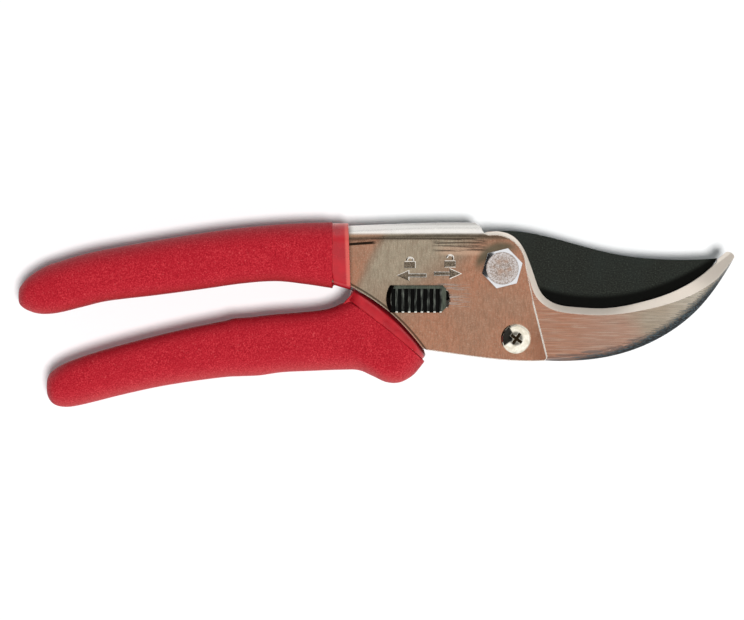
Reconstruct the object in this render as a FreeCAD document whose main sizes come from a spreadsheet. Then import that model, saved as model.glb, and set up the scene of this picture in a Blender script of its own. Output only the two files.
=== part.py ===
import FreeCAD, Part
import math
import os
import Sketcher
from FreeCAD import Rotation, Vector

# Bypass pruning shears, closed and locked, lying on one side.
# Millimetres. The origin is the centre of the pivot bolt's end face, on the
# pivot axis. +X runs to the jaw tips, +Y to the upper handle, +Z to the side
# with the bolt head and the lock button.

doc = FreeCAD.newDocument("pruning_shears")

SIZES = {
    # reach of the jaws and the handles from the pivot
    "jaw_long": 66.0,
    "handle_long": 137.2,
    # sheets, jaws and the stack between the side plates
    "handle_sheet": 1.6,
    "lower_sheet": 1.6,
    "hook_thick": 4.8,
    "blade_thick": 3.0,
    "jaw_gap": 0.05,
    "shim_thick": 0.5,
    "shim_rim": 2.4,
    "fold_bend": 5.2,
    "lower_bend": 3.8,
    # pivot
    "bolt_dia": 6.0,
    "bolt_fit": 0.05,
    "bolt_flats": 10.2,
    "bolt_head_high": 4.0,
    "bolt_proud": 0.6,
    "bushing_dia": 9.4,
    "bushing_fit": 0.05,
    "washer_dia": 12.5,
    "washer_thick": 1.0,
    "nut_high": 4.2,
    "nut_collar_dia": 8.6,
    "nut_collar_high": 1.4,
    # hook screw
    "screw_x": 4.0,
    "screw_y": -19.8,
    "screw_dia": 4.8,
    "screw_head_dia": 8.5,
    "screw_head_high": 2.5,
    "screw_cross_long": 3.7,
    "screw_cross_wide": 0.85,
    "screw_cross_deep": 1.5,
    "spacer_dia": 8.0,
    "hook_nut_flats": 8.0,
    "hook_nut_high": 3.4,
    "screw_proud": 0.8,
    # jaws
    "hook_bevel_wide": 3.2,
    "hook_bevel_deep": 2.6,
    "hook_tip_wide": 1.1,
    "hook_tip_drop": 1.75,
    "hook_tip_deep": 1.8,
    "hook_back_wide": 2.5,
    "hook_back_deep": 1.8,
    "blade_bevel_wide": 6.0,
    "blade_bevel_deep": 2.7,
    # tang and its fasteners
    "tang_arc": 15.0,
    "rivet_dia": 5.0,
    # lock
    "slot_x": -22.0,
    "slot_y": -8.6,
    "slot_long": 14.5,
    "slot_wide": 4.6,
    "lock_travel": 5.0,
    "stem_fit": 0.1,
    "button_long": 16.9,
    "button_wide": 7.7,
    "button_base": 1.1,
    "button_high": 2.6,
    "button_lift": 0.05,
    "button_shift": 0.3,
    "button_round": 1.1,
    "button_corner": 1.4,
    "button_nose": 1.5,
    "button_edge": 0.35,
    "button_border": 1.0,
    "pilot_deep": 2.4,
    "rib_pitch": 1.78,
    "rib_gap": 1.1,
    "rib_count": 8,
    "catch_long": 13.0,
    "catch_wide": 7.0,
    "catch_thick": 1.0,
    "leaf_thick": 0.3,
    "leaf_bow": 0.2,
    "peg_side": 3.0,
    "peg_gap": 0.2,
    "lock_screw_dia": 2.0,
    "lock_screw_head": 3.4,
    # return spring
    "wire_dia": 1.2,
    "coil_radius": 3.4,
    "coil_turns": 2,
    "coil_lift": 0.1,
    "stud_x": -17.0,
    "stud_y": -0.5,
    # grips
    "grip_half": 7.9,
    "lower_grip_half": 7.4,
    "grip_wall": 1.1,
    "grip_edge": 2.2,
    "collar_step": 0.5,
    "grip_fit": 0.05,
    "mouth_gap": 0.45,
}

sheet = doc.addObject("Spreadsheet::Sheet", "Sizes")
for row, (alias, number) in enumerate(SIZES.items(), start=1):
    sheet.set(f"A{row}", alias)
    sheet.set(f"B{row}", str(number))
    sheet.setAlias(f"B{row}", alias)
doc.recompute()

# Heights of the faces in the stack, from the bolt's end upwards.
BACK_FACE = "(Sizes.bolt_proud + Sizes.nut_high + Sizes.washer_thick)"
BACK_INNER = f"({BACK_FACE} + Sizes.handle_sheet)"
LOWER_BACK = f"({BACK_INNER} + Sizes.shim_thick)"
BLADE_BACK = f"({LOWER_BACK} + Sizes.lower_sheet)"
BLADE_FRONT = f"({BLADE_BACK} + Sizes.blade_thick)"
HOOK_BACK = f"({BLADE_FRONT} + Sizes.jaw_gap)"
FRONT_INNER = f"({HOOK_BACK} + Sizes.hook_thick)"
FRONT_FACE = f"({FRONT_INNER} + Sizes.handle_sheet)"
MID = f"(({BACK_INNER} + {FRONT_INNER}) / 2)"
INNER_GAP = f"({FRONT_INNER} - {BACK_INNER})"
LOWER_WIDE = f"({INNER_GAP} - 2 * Sizes.shim_thick)"
CATCH_TOP = f"({FRONT_INNER} - Sizes.leaf_thick - Sizes.leaf_bow - Sizes.button_lift)"
CATCH_BACK = f"({CATCH_TOP} - Sizes.catch_thick)"


def value(expression):
    """Number that an expression on the sheet gives."""
    return float(sheet.evalExpression(expression))


def size(alias):
    return value(f"Sizes.{alias}")


def drawn_out(rows, start, drawn_end, end):
    """Rows that begin with a place along X, with what lies past start stretched to reach end."""
    stretch = (end - start) / (drawn_end - start)
    return [(x if abs(x) < abs(start) else start + (x - start) * stretch, *rest) for x, *rest in rows]


def along_handles(rows):
    """The handles stretch behind the collars."""
    return drawn_out(rows, -58.0, -137.2, -size("handle_long"))


def along_jaws(rows):
    """The jaws stretch in front of the plates."""
    return drawn_out(rows, 16.0, 66.0, size("jaw_long"))


# Plan shape of the grips: place along X, upper edge, lower edge, share of the
# full half thickness. The first stations round off the free end.
UPPER_GRIP = along_handles([
    (-137.2, -6.4, -9.4, 0.22),
    (-136.3, -4.7, -10.6, 0.50),
    (-134.4, -2.4, -11.7, 0.72),
    (-131.0, 0.1, -12.8, 0.86),
    (-126.5, 1.8, -12.9, 0.93),
    (-119.0, 4.1, -10.7, 0.97),
    (-111.7, 5.6, -9.1, 1.0),
    (-98.2, 8.0, -7.5, 1.0),
    (-84.6, 10.3, -5.6, 1.0),
    (-74.0, 11.7, -4.1, 1.0),
    (-64.3, 12.6, -3.4, 1.0),
    (-56.0, 13.1, -4.3, 1.0),
    (-47.9, 13.2, -5.6, 1.0),
])
LOWER_GRIP = along_handles([
    (-129.2, -32.1, -34.8, 0.22),
    (-128.4, -30.2, -37.0, 0.52),
    (-126.7, -28.4, -38.8, 0.74),
    (-123.5, -26.7, -39.4, 0.88),
    (-118.5, -24.8, -38.5, 0.95),
    (-111.7, -22.7, -36.8, 1.0),
    (-98.2, -19.1, -33.7, 1.0),
    (-84.6, -15.9, -31.6, 1.0),
    (-71.1, -13.7, -30.4, 1.0),
    (-57.5, -12.3, -29.0, 1.0),
    (-43.0, -9.8, -28.5, 1.0),
    (-38.7, -8.9, -29.0, 1.0),
    (-34.8, -8.0, -31.3, 1.0),
    (-31.0, -7.0, -32.5, 1.0),
    (-27.8, -6.4, -32.1, 1.0),
    (-25.0, -5.8, -30.3, 0.98),
    (-21.5, -5.0, -25.8, 0.92),
])
COLLAR_END = -43.3
# Stretch of each grip in which the steel follows the vinyl.
UPPER_STEEL = [x for x, in along_handles([(-125.0,), (-50.0,)])]
LOWER_STEEL = [x for x, in along_handles([(-118.0,), (-50.0,)])]
# The slanted edge of the side plates; the lower grip's mouth runs beside it.
PLATE_SLANT = [(-22.6, -22.2), (-25.9, -18.2), (-31.6, -12.4), (-37.2, -8.3), (-42.7, -5.0)]
# Outline of the side plates: the folded edge, its slanted end, the edge round
# the pivot down to the lower corner, and the lower edge back to the slant.
PLATE_FOLD = [(-47.3, 12.1), (-43.3, 12.2), (-28.7, 12.8), (-17.4, 13.1), (-7.4, 13.1)]
FOLD_END = (-5.7, 11.5)
FOLD_STOP = -5.85
PLATE_NOSE = [
    (-5.0, 10.2), (-3.3, 9.5), (3.9, 7.3), (6.8, 1.0),
    (8.9, -8.9), (12.8, -24.4), (12.6, -25.6), (11.5, -26.1),
]
PLATE_BELLY = [(5.1, -26.1), (-6.2, -25.1), (-20.6, -23.1), (-21.7, -22.8)]
PLATE_INSET = (-49.0, -3.6)
SKIN_TOP = Vector(-43.6, -9.1, 0)
SKIN_LOW = Vector(-21.7, -26.3, 0)
PEG_X = -28.0
# Where the tang is riveted to the lower handle.
RIVETS = [(-14.0, -11.0), (-33.0, -15.5)]


def polar(radius, degrees):
    angle = math.radians(degrees)
    return (radius * math.cos(angle), radius * math.sin(angle))


def new_body(label, height):
    body = doc.addObject("PartDesign::Body", label)
    body.Label = label
    body.setExpression("Placement.Base.z", height)
    return body


def new_sketch(body, name, lift="0", plane="XY_Plane"):
    """Sketch on an origin plane of the body, lifted along its normal."""
    sketch = body.newObject("Sketcher::SketchObject", f"{body.Label}_{name}")
    origin_plane = [part for part in body.Origin.OriginFeatures if part.Role == plane][0]
    sketch.AttachmentSupport = [(origin_plane, "")]
    sketch.MapMode = "FlatFace"
    sketch.setExpression("AttachmentOffset.Base.z", lift)
    return sketch


def draw(sketch, path):
    """Closed outline: a start point, then line, arc and curve steps."""
    here = Vector(*path[0], 0)
    start = here
    pieces = []
    for step in path[1:]:
        points = [Vector(*point, 0) for point in step[1:]]
        if step[0] == "line":
            piece = Part.LineSegment(here, points[0])
        elif step[0] == "arc":
            piece = Part.Arc(here, points[0], points[1])
        else:
            piece = Part.BSplineCurve()
            piece.interpolate([here] + points)
        pieces.append(piece)
        here = points[-1]
    if here.distanceToPoint(start) > 1e-6:
        pieces.append(Part.LineSegment(here, start))
    for piece in pieces:
        sketch.addGeometry(piece, False)
    for index in range(len(pieces)):
        sketch.addConstraint(Sketcher.Constraint("Block", index))


def draw_circle(sketch, x, y, radius):
    """Circle whose radius and centre stay bound to the sheet."""
    index = sketch.addGeometry(Part.Circle(Vector(value(x), value(y), 0), Vector(0, 0, 1), value(radius)))
    place = sketch.GeometryCount
    for kind, expression, arguments in (
        ("Radius", radius, (index, value(radius))),
        ("DistanceX", x, (-1, 1, index, 3, value(x))),
        ("DistanceY", y, (-1, 1, index, 3, value(y))),
    ):
        number = sketch.addConstraint(Sketcher.Constraint(kind, *arguments))
        name = f"{kind}_{place}"
        sketch.renameConstraint(number, name)
        sketch.setExpression(f"Constraints.{name}", expression)


def pad(body, sketch, length, both_ways=False, backwards=False):
    feature = body.newObject("PartDesign::Pad", f"{sketch.Label}_pad")
    feature.Profile = sketch
    feature.setExpression("Length", length)
    feature.Midplane = both_ways
    feature.Reversed = backwards
    body.Tip = feature
    doc.recompute()
    return feature


def pocket(body, sketch, length=None, both_ways=False, backwards=False):
    """Cut of a given length, or right through when none is given."""
    before = body.Tip.Shape.Volume
    feature = body.newObject("PartDesign::Pocket", f"{sketch.Label}_pocket")
    feature.Profile = sketch
    if length is None:
        feature.Type = "ThroughAll"
        feature.Midplane = True
    else:
        feature.setExpression("Length", length)
        feature.Midplane = both_ways
        feature.Reversed = backwards
    body.Tip = feature
    doc.recompute()
    if not feature.Shape.Volume < before:
        raise RuntimeError(f"{feature.Name} cuts nothing")
    return feature


def edges_where(feature, test):
    """Names of the feature's edges whose middle point passes the test."""
    names = []
    for number, edge in enumerate(feature.Shape.Edges, start=1):
        middle = edge.valueAt((edge.FirstParameter + edge.LastParameter) / 2)
        if test(edge, middle):
            names.append(f"Edge{number}")
    return names


def fillet(body, names, radius, base):
    feature = body.newObject("PartDesign::Fillet", f"{body.Label}_fillet")
    feature.Base = (base, names)
    feature.setExpression("Radius", radius)
    body.Tip = feature
    doc.recompute()
    return feature


def chamfer(body, names, cut_back, base):
    feature = body.newObject("PartDesign::Chamfer", f"{body.Label}_chamfer_{len(body.Group)}")
    feature.Base = (base, names)
    feature.setExpression("Size", cut_back)
    body.Tip = feature
    doc.recompute()
    return feature


def moved_sideways(points, shifts):
    """Points moved to the left of the way that the curve runs."""
    result = []
    for index, (x, y) in enumerate(points):
        before = points[max(index - 1, 0)]
        after = points[min(index + 1, len(points) - 1)]
        run = Vector(after[0] - before[0], after[1] - before[1], 0).normalize()
        result.append((x - run.y * shifts[index], y + run.x * shifts[index]))
    return result


def run_on(points, past=0.8):
    """Curve lengthened a little past both of its ends."""
    longer = list(points)
    for end, neighbour, place in ((points[0], points[1], 0), (points[-1], points[-2], len(points) + 1)):
        run = Vector(end[0] - neighbour[0], end[1] - neighbour[1], 0).normalize()
        longer.insert(place, (end[0] + run.x * past, end[1] + run.y * past))
    return longer


def bevel(body, name, edge, wide, top, deep, away):
    """Grind a slanted face along a curve that has the material on its right.

    Each point of the curve has its share of the full width. The face is that
    wide at the height top and runs out at the edge, deep below it (above it
    when deep is negative).
    """
    line = [(x, y) for x, y, share in edge][::-1]
    shifts = [value(wide) * share for x, y, share in edge][::-1]
    inner = run_on(moved_sideways(line, shifts))
    outer = run_on(moved_sideways(line, [-0.02] * len(line)))
    sketches = []
    for mark, points, lift in (("crest", inner, top), ("edge", outer, f"{top} - {deep}")):
        sketch = new_sketch(body, f"{name}_{mark}", lift)
        draw(sketch, [
            points[0],
            ("curve", *points[1:]),
            ("line", (points[-1][0] + away[0], points[-1][1] + away[1])),
            ("line", (points[0][0] + away[0], points[0][1] + away[1])),
        ])
        sketches.append(sketch)
    before = body.Tip.Shape.Volume
    ground = body.newObject("PartDesign::SubtractiveLoft", f"{body.Label}_{name}")
    ground.Profile = sketches[0]
    ground.Sections = sketches[1:]
    ground.Ruled = True
    body.Tip = ground
    doc.recompute()
    if not ground.Shape.Volume < before:
        raise RuntimeError(f"{ground.Name} cuts nothing")
    return ground


def level(edge, middle, z):
    """True for an edge that lies flat at the height z."""
    ends = [vertex.Point.z for vertex in edge.Vertexes]
    return abs(middle.z - z) < 0.01 and all(abs(end - z) < 0.01 for end in ends)


def drill(body, name, x, y, radius):
    sketch = new_sketch(body, name)
    draw_circle(sketch, x, y, radius)
    return pocket(body, sketch)


def stations_between(stations, low, high, edge, inset):
    """Points of a grip's edge moved inwards, for the steel under it."""
    return [(row[0], row[edge] + inset) for row in stations if low < row[0] < high]


# ---------------------------------------------------------------- upper body


def upper_steel_path(spread):
    """Side outline of the upper channel; spread widens the part in the grip."""
    wall = size("grip_wall") - spread
    edge = size("grip_edge") - spread
    top = stations_between(UPPER_GRIP, *UPPER_STEEL, 1, -wall)
    low = stations_between(UPPER_GRIP, *UPPER_STEEL, 2, edge)
    low.reverse()
    fold = [(x, y + spread) for x, y in PLATE_FOLD]
    return top, low, fold


def upper_channel_blank(label, spread, wide):
    """Folded blank: outer form of the channel with its bent edges."""
    top, low, fold = upper_steel_path(spread)
    body = new_body(label, MID)
    outline = new_sketch(body, "outline")
    path = [(top[0][0] - spread, low[-1][1]), ("line", (top[0][0] - spread, top[0][1]))]
    path += [("curve", *top[1:], *fold)]
    path += [
        ("line", FOLD_END),
        ("arc", *PLATE_NOSE[0:2]),
        ("arc", *PLATE_NOSE[2:4]),
        ("line", PLATE_NOSE[4]),
        ("line", PLATE_NOSE[5]),
        ("arc", *PLATE_NOSE[6:8]),
        ("curve", *PLATE_BELLY[:3]),
        ("arc", PLATE_BELLY[3], PLATE_SLANT[0]),
        ("curve", *PLATE_SLANT[1:]),
        ("line", (PLATE_INSET[0], PLATE_INSET[1] - spread)),
        ("curve", *low),
    ]
    draw(outline, path)
    blank = pad(body, outline, wide, both_ways=True)
    half = value(wide) / 2
    bends = edges_where(
        blank,
        lambda edge, middle: (level(edge, middle, half) or level(edge, middle, -half))
        and edge.Length > 60 and middle.y > 5,
    )
    bend = "Sizes.fold_bend" if spread == 0 else "Sizes.fold_bend + Sizes.grip_fit"
    fillet(body, bends, bend, blank)
    return body


def upper_handle():
    body = upper_channel_blank("upper_handle", 0, f"{INNER_GAP} + 2 * Sizes.handle_sheet")
    top, low, fold = upper_steel_path(0)
    skin = size("handle_sheet")
    inner = [(x, y - skin) for x, y in top + fold]
    hollow = new_sketch(body, "hollow")
    left = top[0][0] - 5
    draw(hollow, [
        (left, inner[0][1] - 0.8),
        ("line", inner[0]),
        ("curve", *inner[1:]),
        ("line", (FOLD_STOP, inner[-1][1])),
        ("line", (FOLD_STOP, 20.0)),
        ("line", (20.0, 20.0)),
        ("line", (20.0, -40.0)),
        ("line", (left, -40.0)),
    ])
    cavity = pocket(body, hollow, INNER_GAP, both_ways=True)
    half = value(INNER_GAP) / 2
    corners = edges_where(
        cavity,
        lambda edge, middle: (level(edge, middle, half) or level(edge, middle, -half))
        and edge.Length > 60 and middle.y > 2,
    )
    fillet(body, corners, "Sizes.fold_bend - Sizes.handle_sheet", cavity)
    drill(body, "bolt_hole", "0", "0", "Sizes.bolt_dia / 2 + Sizes.bolt_fit")
    drill(body, "screw_hole", "Sizes.screw_x", "Sizes.screw_y", "Sizes.screw_dia / 2 + Sizes.bolt_fit")
    slot = new_sketch(body, "slot", f"{FRONT_FACE} - {MID}")
    draw(slot, slot_path("Sizes.slot_long", "Sizes.slot_wide"))
    pocket(body, slot, "Sizes.handle_sheet + 1")
    return body


def slot_path(long, wide, shift=0.0):
    """Rectangle with slightly rounded ends round the slot's centre."""
    x = size("slot_x") + shift
    y = size("slot_y")
    reach = value(long) / 2
    half = value(wide) / 2
    bulge = half * 0.25
    return [
        (x - reach + bulge, y - half),
        ("line", (x + reach - bulge, y - half)),
        ("arc", (x + reach, y), (x + reach - bulge, y + half)),
        ("line", (x - reach + bulge, y + half)),
        ("arc", (x - reach, y), (x - reach + bulge, y - half)),
    ]


def grip_section(body, index, station, half, fold_below):
    """Rounded cross section of a grip at one place along it."""
    x, high, low, share = station
    half = half * share
    tall = high - low
    small = min(tall / 2, half)
    fold_round = min(size("fold_bend") + size("grip_wall"), 0.94 * small)
    edge_round = min(4.6, 0.94 * small)
    top_round, low_round = (edge_round, fold_round) if fold_below else (fold_round, edge_round)
    section = new_sketch(body, f"section_{index}", str(x), "YZ_Plane")
    diagonal = math.sqrt(0.5)
    top_in = top_round * (1 - diagonal)
    low_in = low_round * (1 - diagonal)
    draw(section, [
        (low + low_round, -half),
        ("line", (high - top_round, -half)),
        ("arc", (high - top_in, -half + top_in), (high, -half + top_round)),
        ("line", (high, half - top_round)),
        ("arc", (high - top_in, half - top_in), (high - top_round, half)),
        ("line", (low + low_round, half)),
        ("arc", (low + low_in, half - low_in), (low, half - low_round)),
        ("line", (low, -half + low_round)),
        ("arc", (low + low_in, -half + low_in), (low + low_round, -half)),
    ])
    return section


def grip_loft(body, name, stations, half, fold_below):
    """Skin drawn straight from each cross section to the next."""
    first = len(body.Group)
    sections = [
        grip_section(body, first + index, row, half, fold_below) for index, row in enumerate(stations)
    ]
    loft = body.newObject("PartDesign::AdditiveLoft", f"{body.Label}_{name}")
    loft.Profile = sections[0]
    loft.Sections = sections[1:]
    loft.Ruled = True
    body.Tip = loft
    doc.recompute()
    return loft


def cut(label, base, tool):
    result = doc.addObject("Part::Cut", label)
    result.Label = label
    result.Base = base
    result.Tool = tool
    doc.recompute()
    return result


def upper_grip():
    body = new_body("upper_grip_form", MID)
    grip_loft(body, "skin", UPPER_GRIP, size("grip_half"), False)
    step = size("collar_step")
    x, high, low, share = UPPER_GRIP[-1]
    grip_loft(body, "collar", [
        (x - 2, high - step, low + step, 1.0),
        (COLLAR_END, high - step, low + step, 1.0),
    ], size("grip_half") - step, False)
    envelope = upper_channel_blank(
        "upper_channel_form", size("grip_fit"),
        f"{INNER_GAP} + 2 * Sizes.handle_sheet + 2 * Sizes.grip_fit",
    )
    return cut("upper_grip", body, envelope)


# ---------------------------------------------------------------- lower body


def mouth(inwards):
    """Edge of the lower grip's mouth, beside the plates' slanted edge."""
    gap = size("mouth_gap") + inwards
    return moved_sideways(PLATE_SLANT, [gap] * len(PLATE_SLANT))


def lower_steel_path(spread):
    """Open upper edge and folded lower edge of the lower channel."""
    wall = size("grip_wall") + 0.5 - spread
    edge = size("grip_edge") - spread
    top = stations_between(LOWER_GRIP, *LOWER_STEEL, 1, -edge)
    low = stations_between(LOWER_GRIP, *LOWER_STEEL, 2, wall)
    low += [(-45.7, -27.3 - spread), (-33.0, -26.0 - spread), (-21.0, -23.2 - spread)]
    low.reverse()
    return top, low


def lower_channel_blank(label, spread, wide):
    top, low = lower_steel_path(spread)
    arc = size("tang_arc")
    body = new_body(label, MID)
    outline = new_sketch(body, "outline")
    path = [(top[0][0] - spread, top[0][1])]
    path += [
        ("curve", *top[1:], (-49.0, -13.3 + spread)),
        ("line", (-42.0, -8.6 + spread)),
        ("curve", (-31.0, -2.4), (-20.0, 2.6), (-7.0, 7.6)),
        ("arc", (0.0, 8.2), (5.8, 5.8)),
        ("arc", (8.2, 0.0), (6.6, -5.0)),
        ("line", polar(arc, -84.0)),
        ("arc", polar(arc, -104.0), polar(arc, -124.5)),
        ("line", polar(25.0, -124.5)),
        ("line", low[0]),
        ("curve", *low[1:]),
    ]
    draw(outline, path)
    blank = pad(body, outline, wide, both_ways=True)
    half = value(wide) / 2
    bends = edges_where(
        blank,
        lambda edge, middle: (level(edge, middle, half) or level(edge, middle, -half))
        and edge.Length > 60 and middle.y < -27,
    )
    bend = "Sizes.lower_bend" if spread == 0 else "Sizes.lower_bend + Sizes.grip_fit"
    fillet(body, bends, bend, blank)
    return body


def lower_handle():
    body = lower_channel_blank("lower_handle", 0, LOWER_WIDE)
    top, low = lower_steel_path(0)
    skin = size("lower_sheet")
    inner = [(x, y + skin) for x, y in low]
    hollow = new_sketch(body, "hollow")
    draw(hollow, [
        (20.0, inner[0][1] + 3.0),
        ("line", (inner[0][0] + 1.0, inner[0][1])),
        ("line", inner[0]),
        ("curve", *inner[1:]),
        ("line", (inner[-1][0] - 5, inner[-1][1])),
        ("line", (inner[-1][0] - 5, 20.0)),
        ("line", (20.0, 20.0)),
    ])
    cavity = pocket(body, hollow, f"{LOWER_WIDE} - 2 * Sizes.lower_sheet", both_ways=True)
    half = value(f"{LOWER_WIDE} / 2 - Sizes.lower_sheet")
    corners = edges_where(
        cavity,
        lambda edge, middle: (level(edge, middle, half) or level(edge, middle, -half))
        and edge.Length > 60 and middle.y < -25,
    )
    fillet(body, corners, "Sizes.lower_bend - Sizes.lower_sheet", cavity)
    # The front wall ends just inside the mouth of the grip.
    front = new_sketch(body, "front_end", f"{LOWER_WIDE} / 2")
    end = mouth(0.5)
    draw(front, [
        (end[0][0] + 3.0, end[0][1] - 6.0),
        ("line", end[0]),
        ("curve", *end[1:]),
        ("line", (end[-1][0], 30.0)),
        ("line", (30.0, 30.0)),
        ("line", (30.0, end[0][1] - 6.0)),
    ])
    pocket(body, front, f"{LOWER_WIDE} - Sizes.lower_sheet")
    for x, y in RIVETS:
        drill(body, f"rivet_{abs(round(x))}", str(x), str(y), "Sizes.rivet_dia / 2")
    drill(body, "bushing_hole", "0", "0", "Sizes.bushing_dia / 2 + Sizes.bushing_fit")
    return body


def lower_grip():
    half = size("lower_grip_half")
    body = new_body("lower_grip_form", MID)
    grip_loft(body, "skin", LOWER_GRIP, half, True)
    # Textured skin stops at a slanted step; the smooth collar goes on to the mouth.
    trim_line(body, "skin_end", SKIN_TOP, SKIN_LOW)
    band = new_sketch(body, "collar")
    end = mouth(0.0)
    draw(band, [
        (-47.0, -10.4),
        ("line", (-44.0, -8.2)),
        ("arc", (-43.4, -6.7), end[-1]),
        ("curve", *end[-2::-1]),
        ("line", (-20.4, -24.2)),
        ("line", (-21.6, -25.6)),
        ("line", (-30.0, -27.0)),
    ])
    pad(body, band, "2 * (Sizes.lower_grip_half - Sizes.collar_step)", both_ways=True)
    envelope = lower_channel_blank(
        "lower_channel_form", size("grip_fit"), f"{LOWER_WIDE} + 2 * Sizes.grip_fit",
    )
    return cut("lower_grip", body, envelope)


def trim_line(body, name, start, end):
    """Cut away everything above a slanted line."""
    slope = Vector(end - start).normalize()
    side = Vector(-slope.y, slope.x, 0)
    first = start - slope * 9
    last = end + slope * 12
    trim = new_sketch(body, name)
    draw(trim, [
        (first.x, first.y),
        ("line", (last.x, last.y)),
        ("line", (last.x + side.x * 40, last.y + side.y * 40)),
        ("line", (first.x + side.x * 40, first.y + side.y * 40)),
    ])
    return pocket(body, trim)


# --------------------------------------------------------------------- jaws


# Ground edges of the jaws: place, and share of the full width of the bevel.
# The hook's runs over the pivot and along the concave jaw to the tip.
HOOK_EDGE = along_jaws([
    (-4.4, 10.3, 0.3), (-1.0, 10.6, 0.5), (2.9, 9.5, 0.5), (5.4, 7.2, 0.5), (7.4, 3.4, 0.5),
    (9.7, -3.0, 0.55), (11.4, -6.9, 0.6), (14.4, -9.5, 0.6), (20.9, -10.9, 0.6), (30.0, -11.2, 0.6),
    (39.0, -9.7, 0.7), (48.0, -6.9, 0.85), (55.5, -2.9, 1.0), (61.3, 2.0, 1.1),
])
HOOK_PAST_TIP = along_jaws([(65.4, 6.0, 1.1)])
HOOK_TIP = along_jaws([(61.3, 2.5, 1.0), (64.0, 4.8, 1.0)])
HOOK_NOSE = along_jaws([(65.5, 4.3)])
HOOK_BACK_CURVE = along_jaws([
    (66.0, 3.1, 0.1), (61.6, -4.1, 0.5), (54.9, -12.3, 0.9), (45.8, -19.1, 1.0), (34.5, -23.9, 0.85),
    (22.0, -26.0, 0.55), (12.0, -26.0, 0.2),
])
# The blade's cutting edge, from the tip inwards.
BLADE_EDGE = along_jaws([
    (61.6, 3.0, 0.12), (55.0, -4.6, 0.6), (48.0, -9.1, 1.0), (39.0, -12.4, 1.0), (30.0, -13.8, 1.0),
    (21.0, -13.9, 0.7), (11.5, -12.6, 0.12),
])
BLADE_SPINE = along_jaws([
    (-1.1, 10.7), (7.4, 10.3), (16.4, 8.3), (25.5, 5.8), (34.5, 3.8), (45.8, 2.7), (54.8, 2.6),
])


def places(edge):
    """The points of a ground edge without their shares."""
    return [(x, y) for x, y, share in edge]


def hook():
    """Counter blade: concave ground edge above, convex back below."""
    body = new_body("hook", HOOK_BACK)
    outline = new_sketch(body, "outline")
    edge = places(HOOK_EDGE)
    back = places(HOOK_BACK_CURVE)
    draw(outline, [
        edge[0],
        ("curve", *edge[1:]),
        ("line", HOOK_TIP[0][:2]),
        ("line", HOOK_TIP[1][:2]),
        ("arc", *HOOK_NOSE, back[0]),
        ("curve", *back[1:]),
        ("line", (5.0, -25.8)),
        ("line", (-2.6, -25.0)),
        ("arc", (-4.0, -24.4), (-4.6, -23.0)),
        ("line", (-7.6, -4.0)),
        ("arc", (-8.4, 2.5), edge[0]),
    ])
    pad(body, outline, "Sizes.hook_thick")
    bevel(
        body, "ground_edge", HOOK_EDGE + HOOK_PAST_TIP, "Sizes.hook_bevel_wide",
        "Sizes.hook_thick", "Sizes.hook_bevel_deep", (0, 14),
    )
    bevel(
        body, "ground_tip", HOOK_TIP, "Sizes.hook_tip_wide",
        "Sizes.hook_thick - Sizes.hook_tip_drop", "Sizes.hook_tip_deep", (-9, 9),
    )
    bevel(
        body, "ground_back", HOOK_BACK_CURVE, "Sizes.hook_back_wide",
        "Sizes.hook_thick", "Sizes.hook_back_deep", (8, -16),
    )
    drill(body, "bolt_hole", "0", "0", "Sizes.bolt_dia / 2 + Sizes.bolt_fit")
    drill(body, "screw_hole", "Sizes.screw_x", "Sizes.screw_y", "Sizes.screw_dia / 2 + Sizes.bolt_fit")
    return body


def blade():
    """Cutting blade with its tang; the edge is ground on the back only."""
    arc = size("tang_arc")
    body = new_body("blade", BLADE_BACK)
    outline = new_sketch(body, "outline")
    edge = places(BLADE_EDGE)
    draw(outline, [
        BLADE_SPINE[0],
        ("curve", *BLADE_SPINE[1:], edge[0]),
        ("curve", *edge[1:]),
        ("curve", (8.4, -12.6), polar(arc, -72.0)),
        ("arc", polar(arc, -98.0), polar(arc, -124.5)),
        ("line", polar(22.0, -124.5)),
        ("line", (-21.0, -19.5)),
        ("line", (-39.0, -19.5)),
        ("arc", (-41.0, -18.5), (-41.0, -16.0)),
        ("line", (-40.0, -10.5)),
        ("curve", (-31.5, -4.2), (-26.8, -2.0)),
        ("line", polar(25.2, 186.0)),
        ("arc", polar(25.2, 190.0), polar(25.2, 194.6)),
        ("line", (-30.0, -6.7)),
        ("line", (-30.0, -10.5)),
        ("line", (-21.6, -10.5)),
        ("arc", polar(21.3, 196.0), polar(21.3, 184.0)),
        ("line", (-20.6, 1.2)),
        ("curve", (-14.0, 4.2), (-7.4, 7.8), BLADE_SPINE[0]),
    ])
    pad(body, outline, "Sizes.blade_thick")
    bevel(
        body, "ground_edge", BLADE_EDGE, "Sizes.blade_bevel_wide",
        "0", "-1 * Sizes.blade_bevel_deep", (8, -16),
    )
    drill(body, "bushing_hole", "0", "0", "Sizes.bushing_dia / 2 + Sizes.bushing_fit")
    for x, y in RIVETS:
        drill(body, f"rivet_{abs(round(x))}", str(x), str(y), "Sizes.rivet_dia / 2")
    return body


# ---------------------------------------------------------------- fasteners

# Angle of the first corner of each hexagon as it was tightened, and the round
# flat on a hexagon's end as a share of its width across the flats.
HEX_TURN = 14.0
HEX_FLAT = 0.89


def hexagon(sketch, flats):
    """Regular hexagon round the origin."""
    corner = value(flats) / math.sqrt(3)
    corners = [polar(corner, HEX_TURN + 60 * turn) for turn in range(6)]
    draw(sketch, [corners[0]] + [("line", point) for point in corners[1:]])


def turned(body, name, profile):
    """Round piece from half of its section, drawn as (radius, height)."""
    section = new_sketch(body, name, "0", "XZ_Plane")
    draw(section, [profile[0]] + [("line", point) for point in profile[1:]])
    feature = body.newObject("PartDesign::Revolution", f"{body.Label}_{name}_turn")
    feature.Profile = section
    feature.ReferenceAxis = (section, ["V_Axis"])
    feature.Angle = 360
    body.Tip = feature
    doc.recompute()
    return feature


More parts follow.
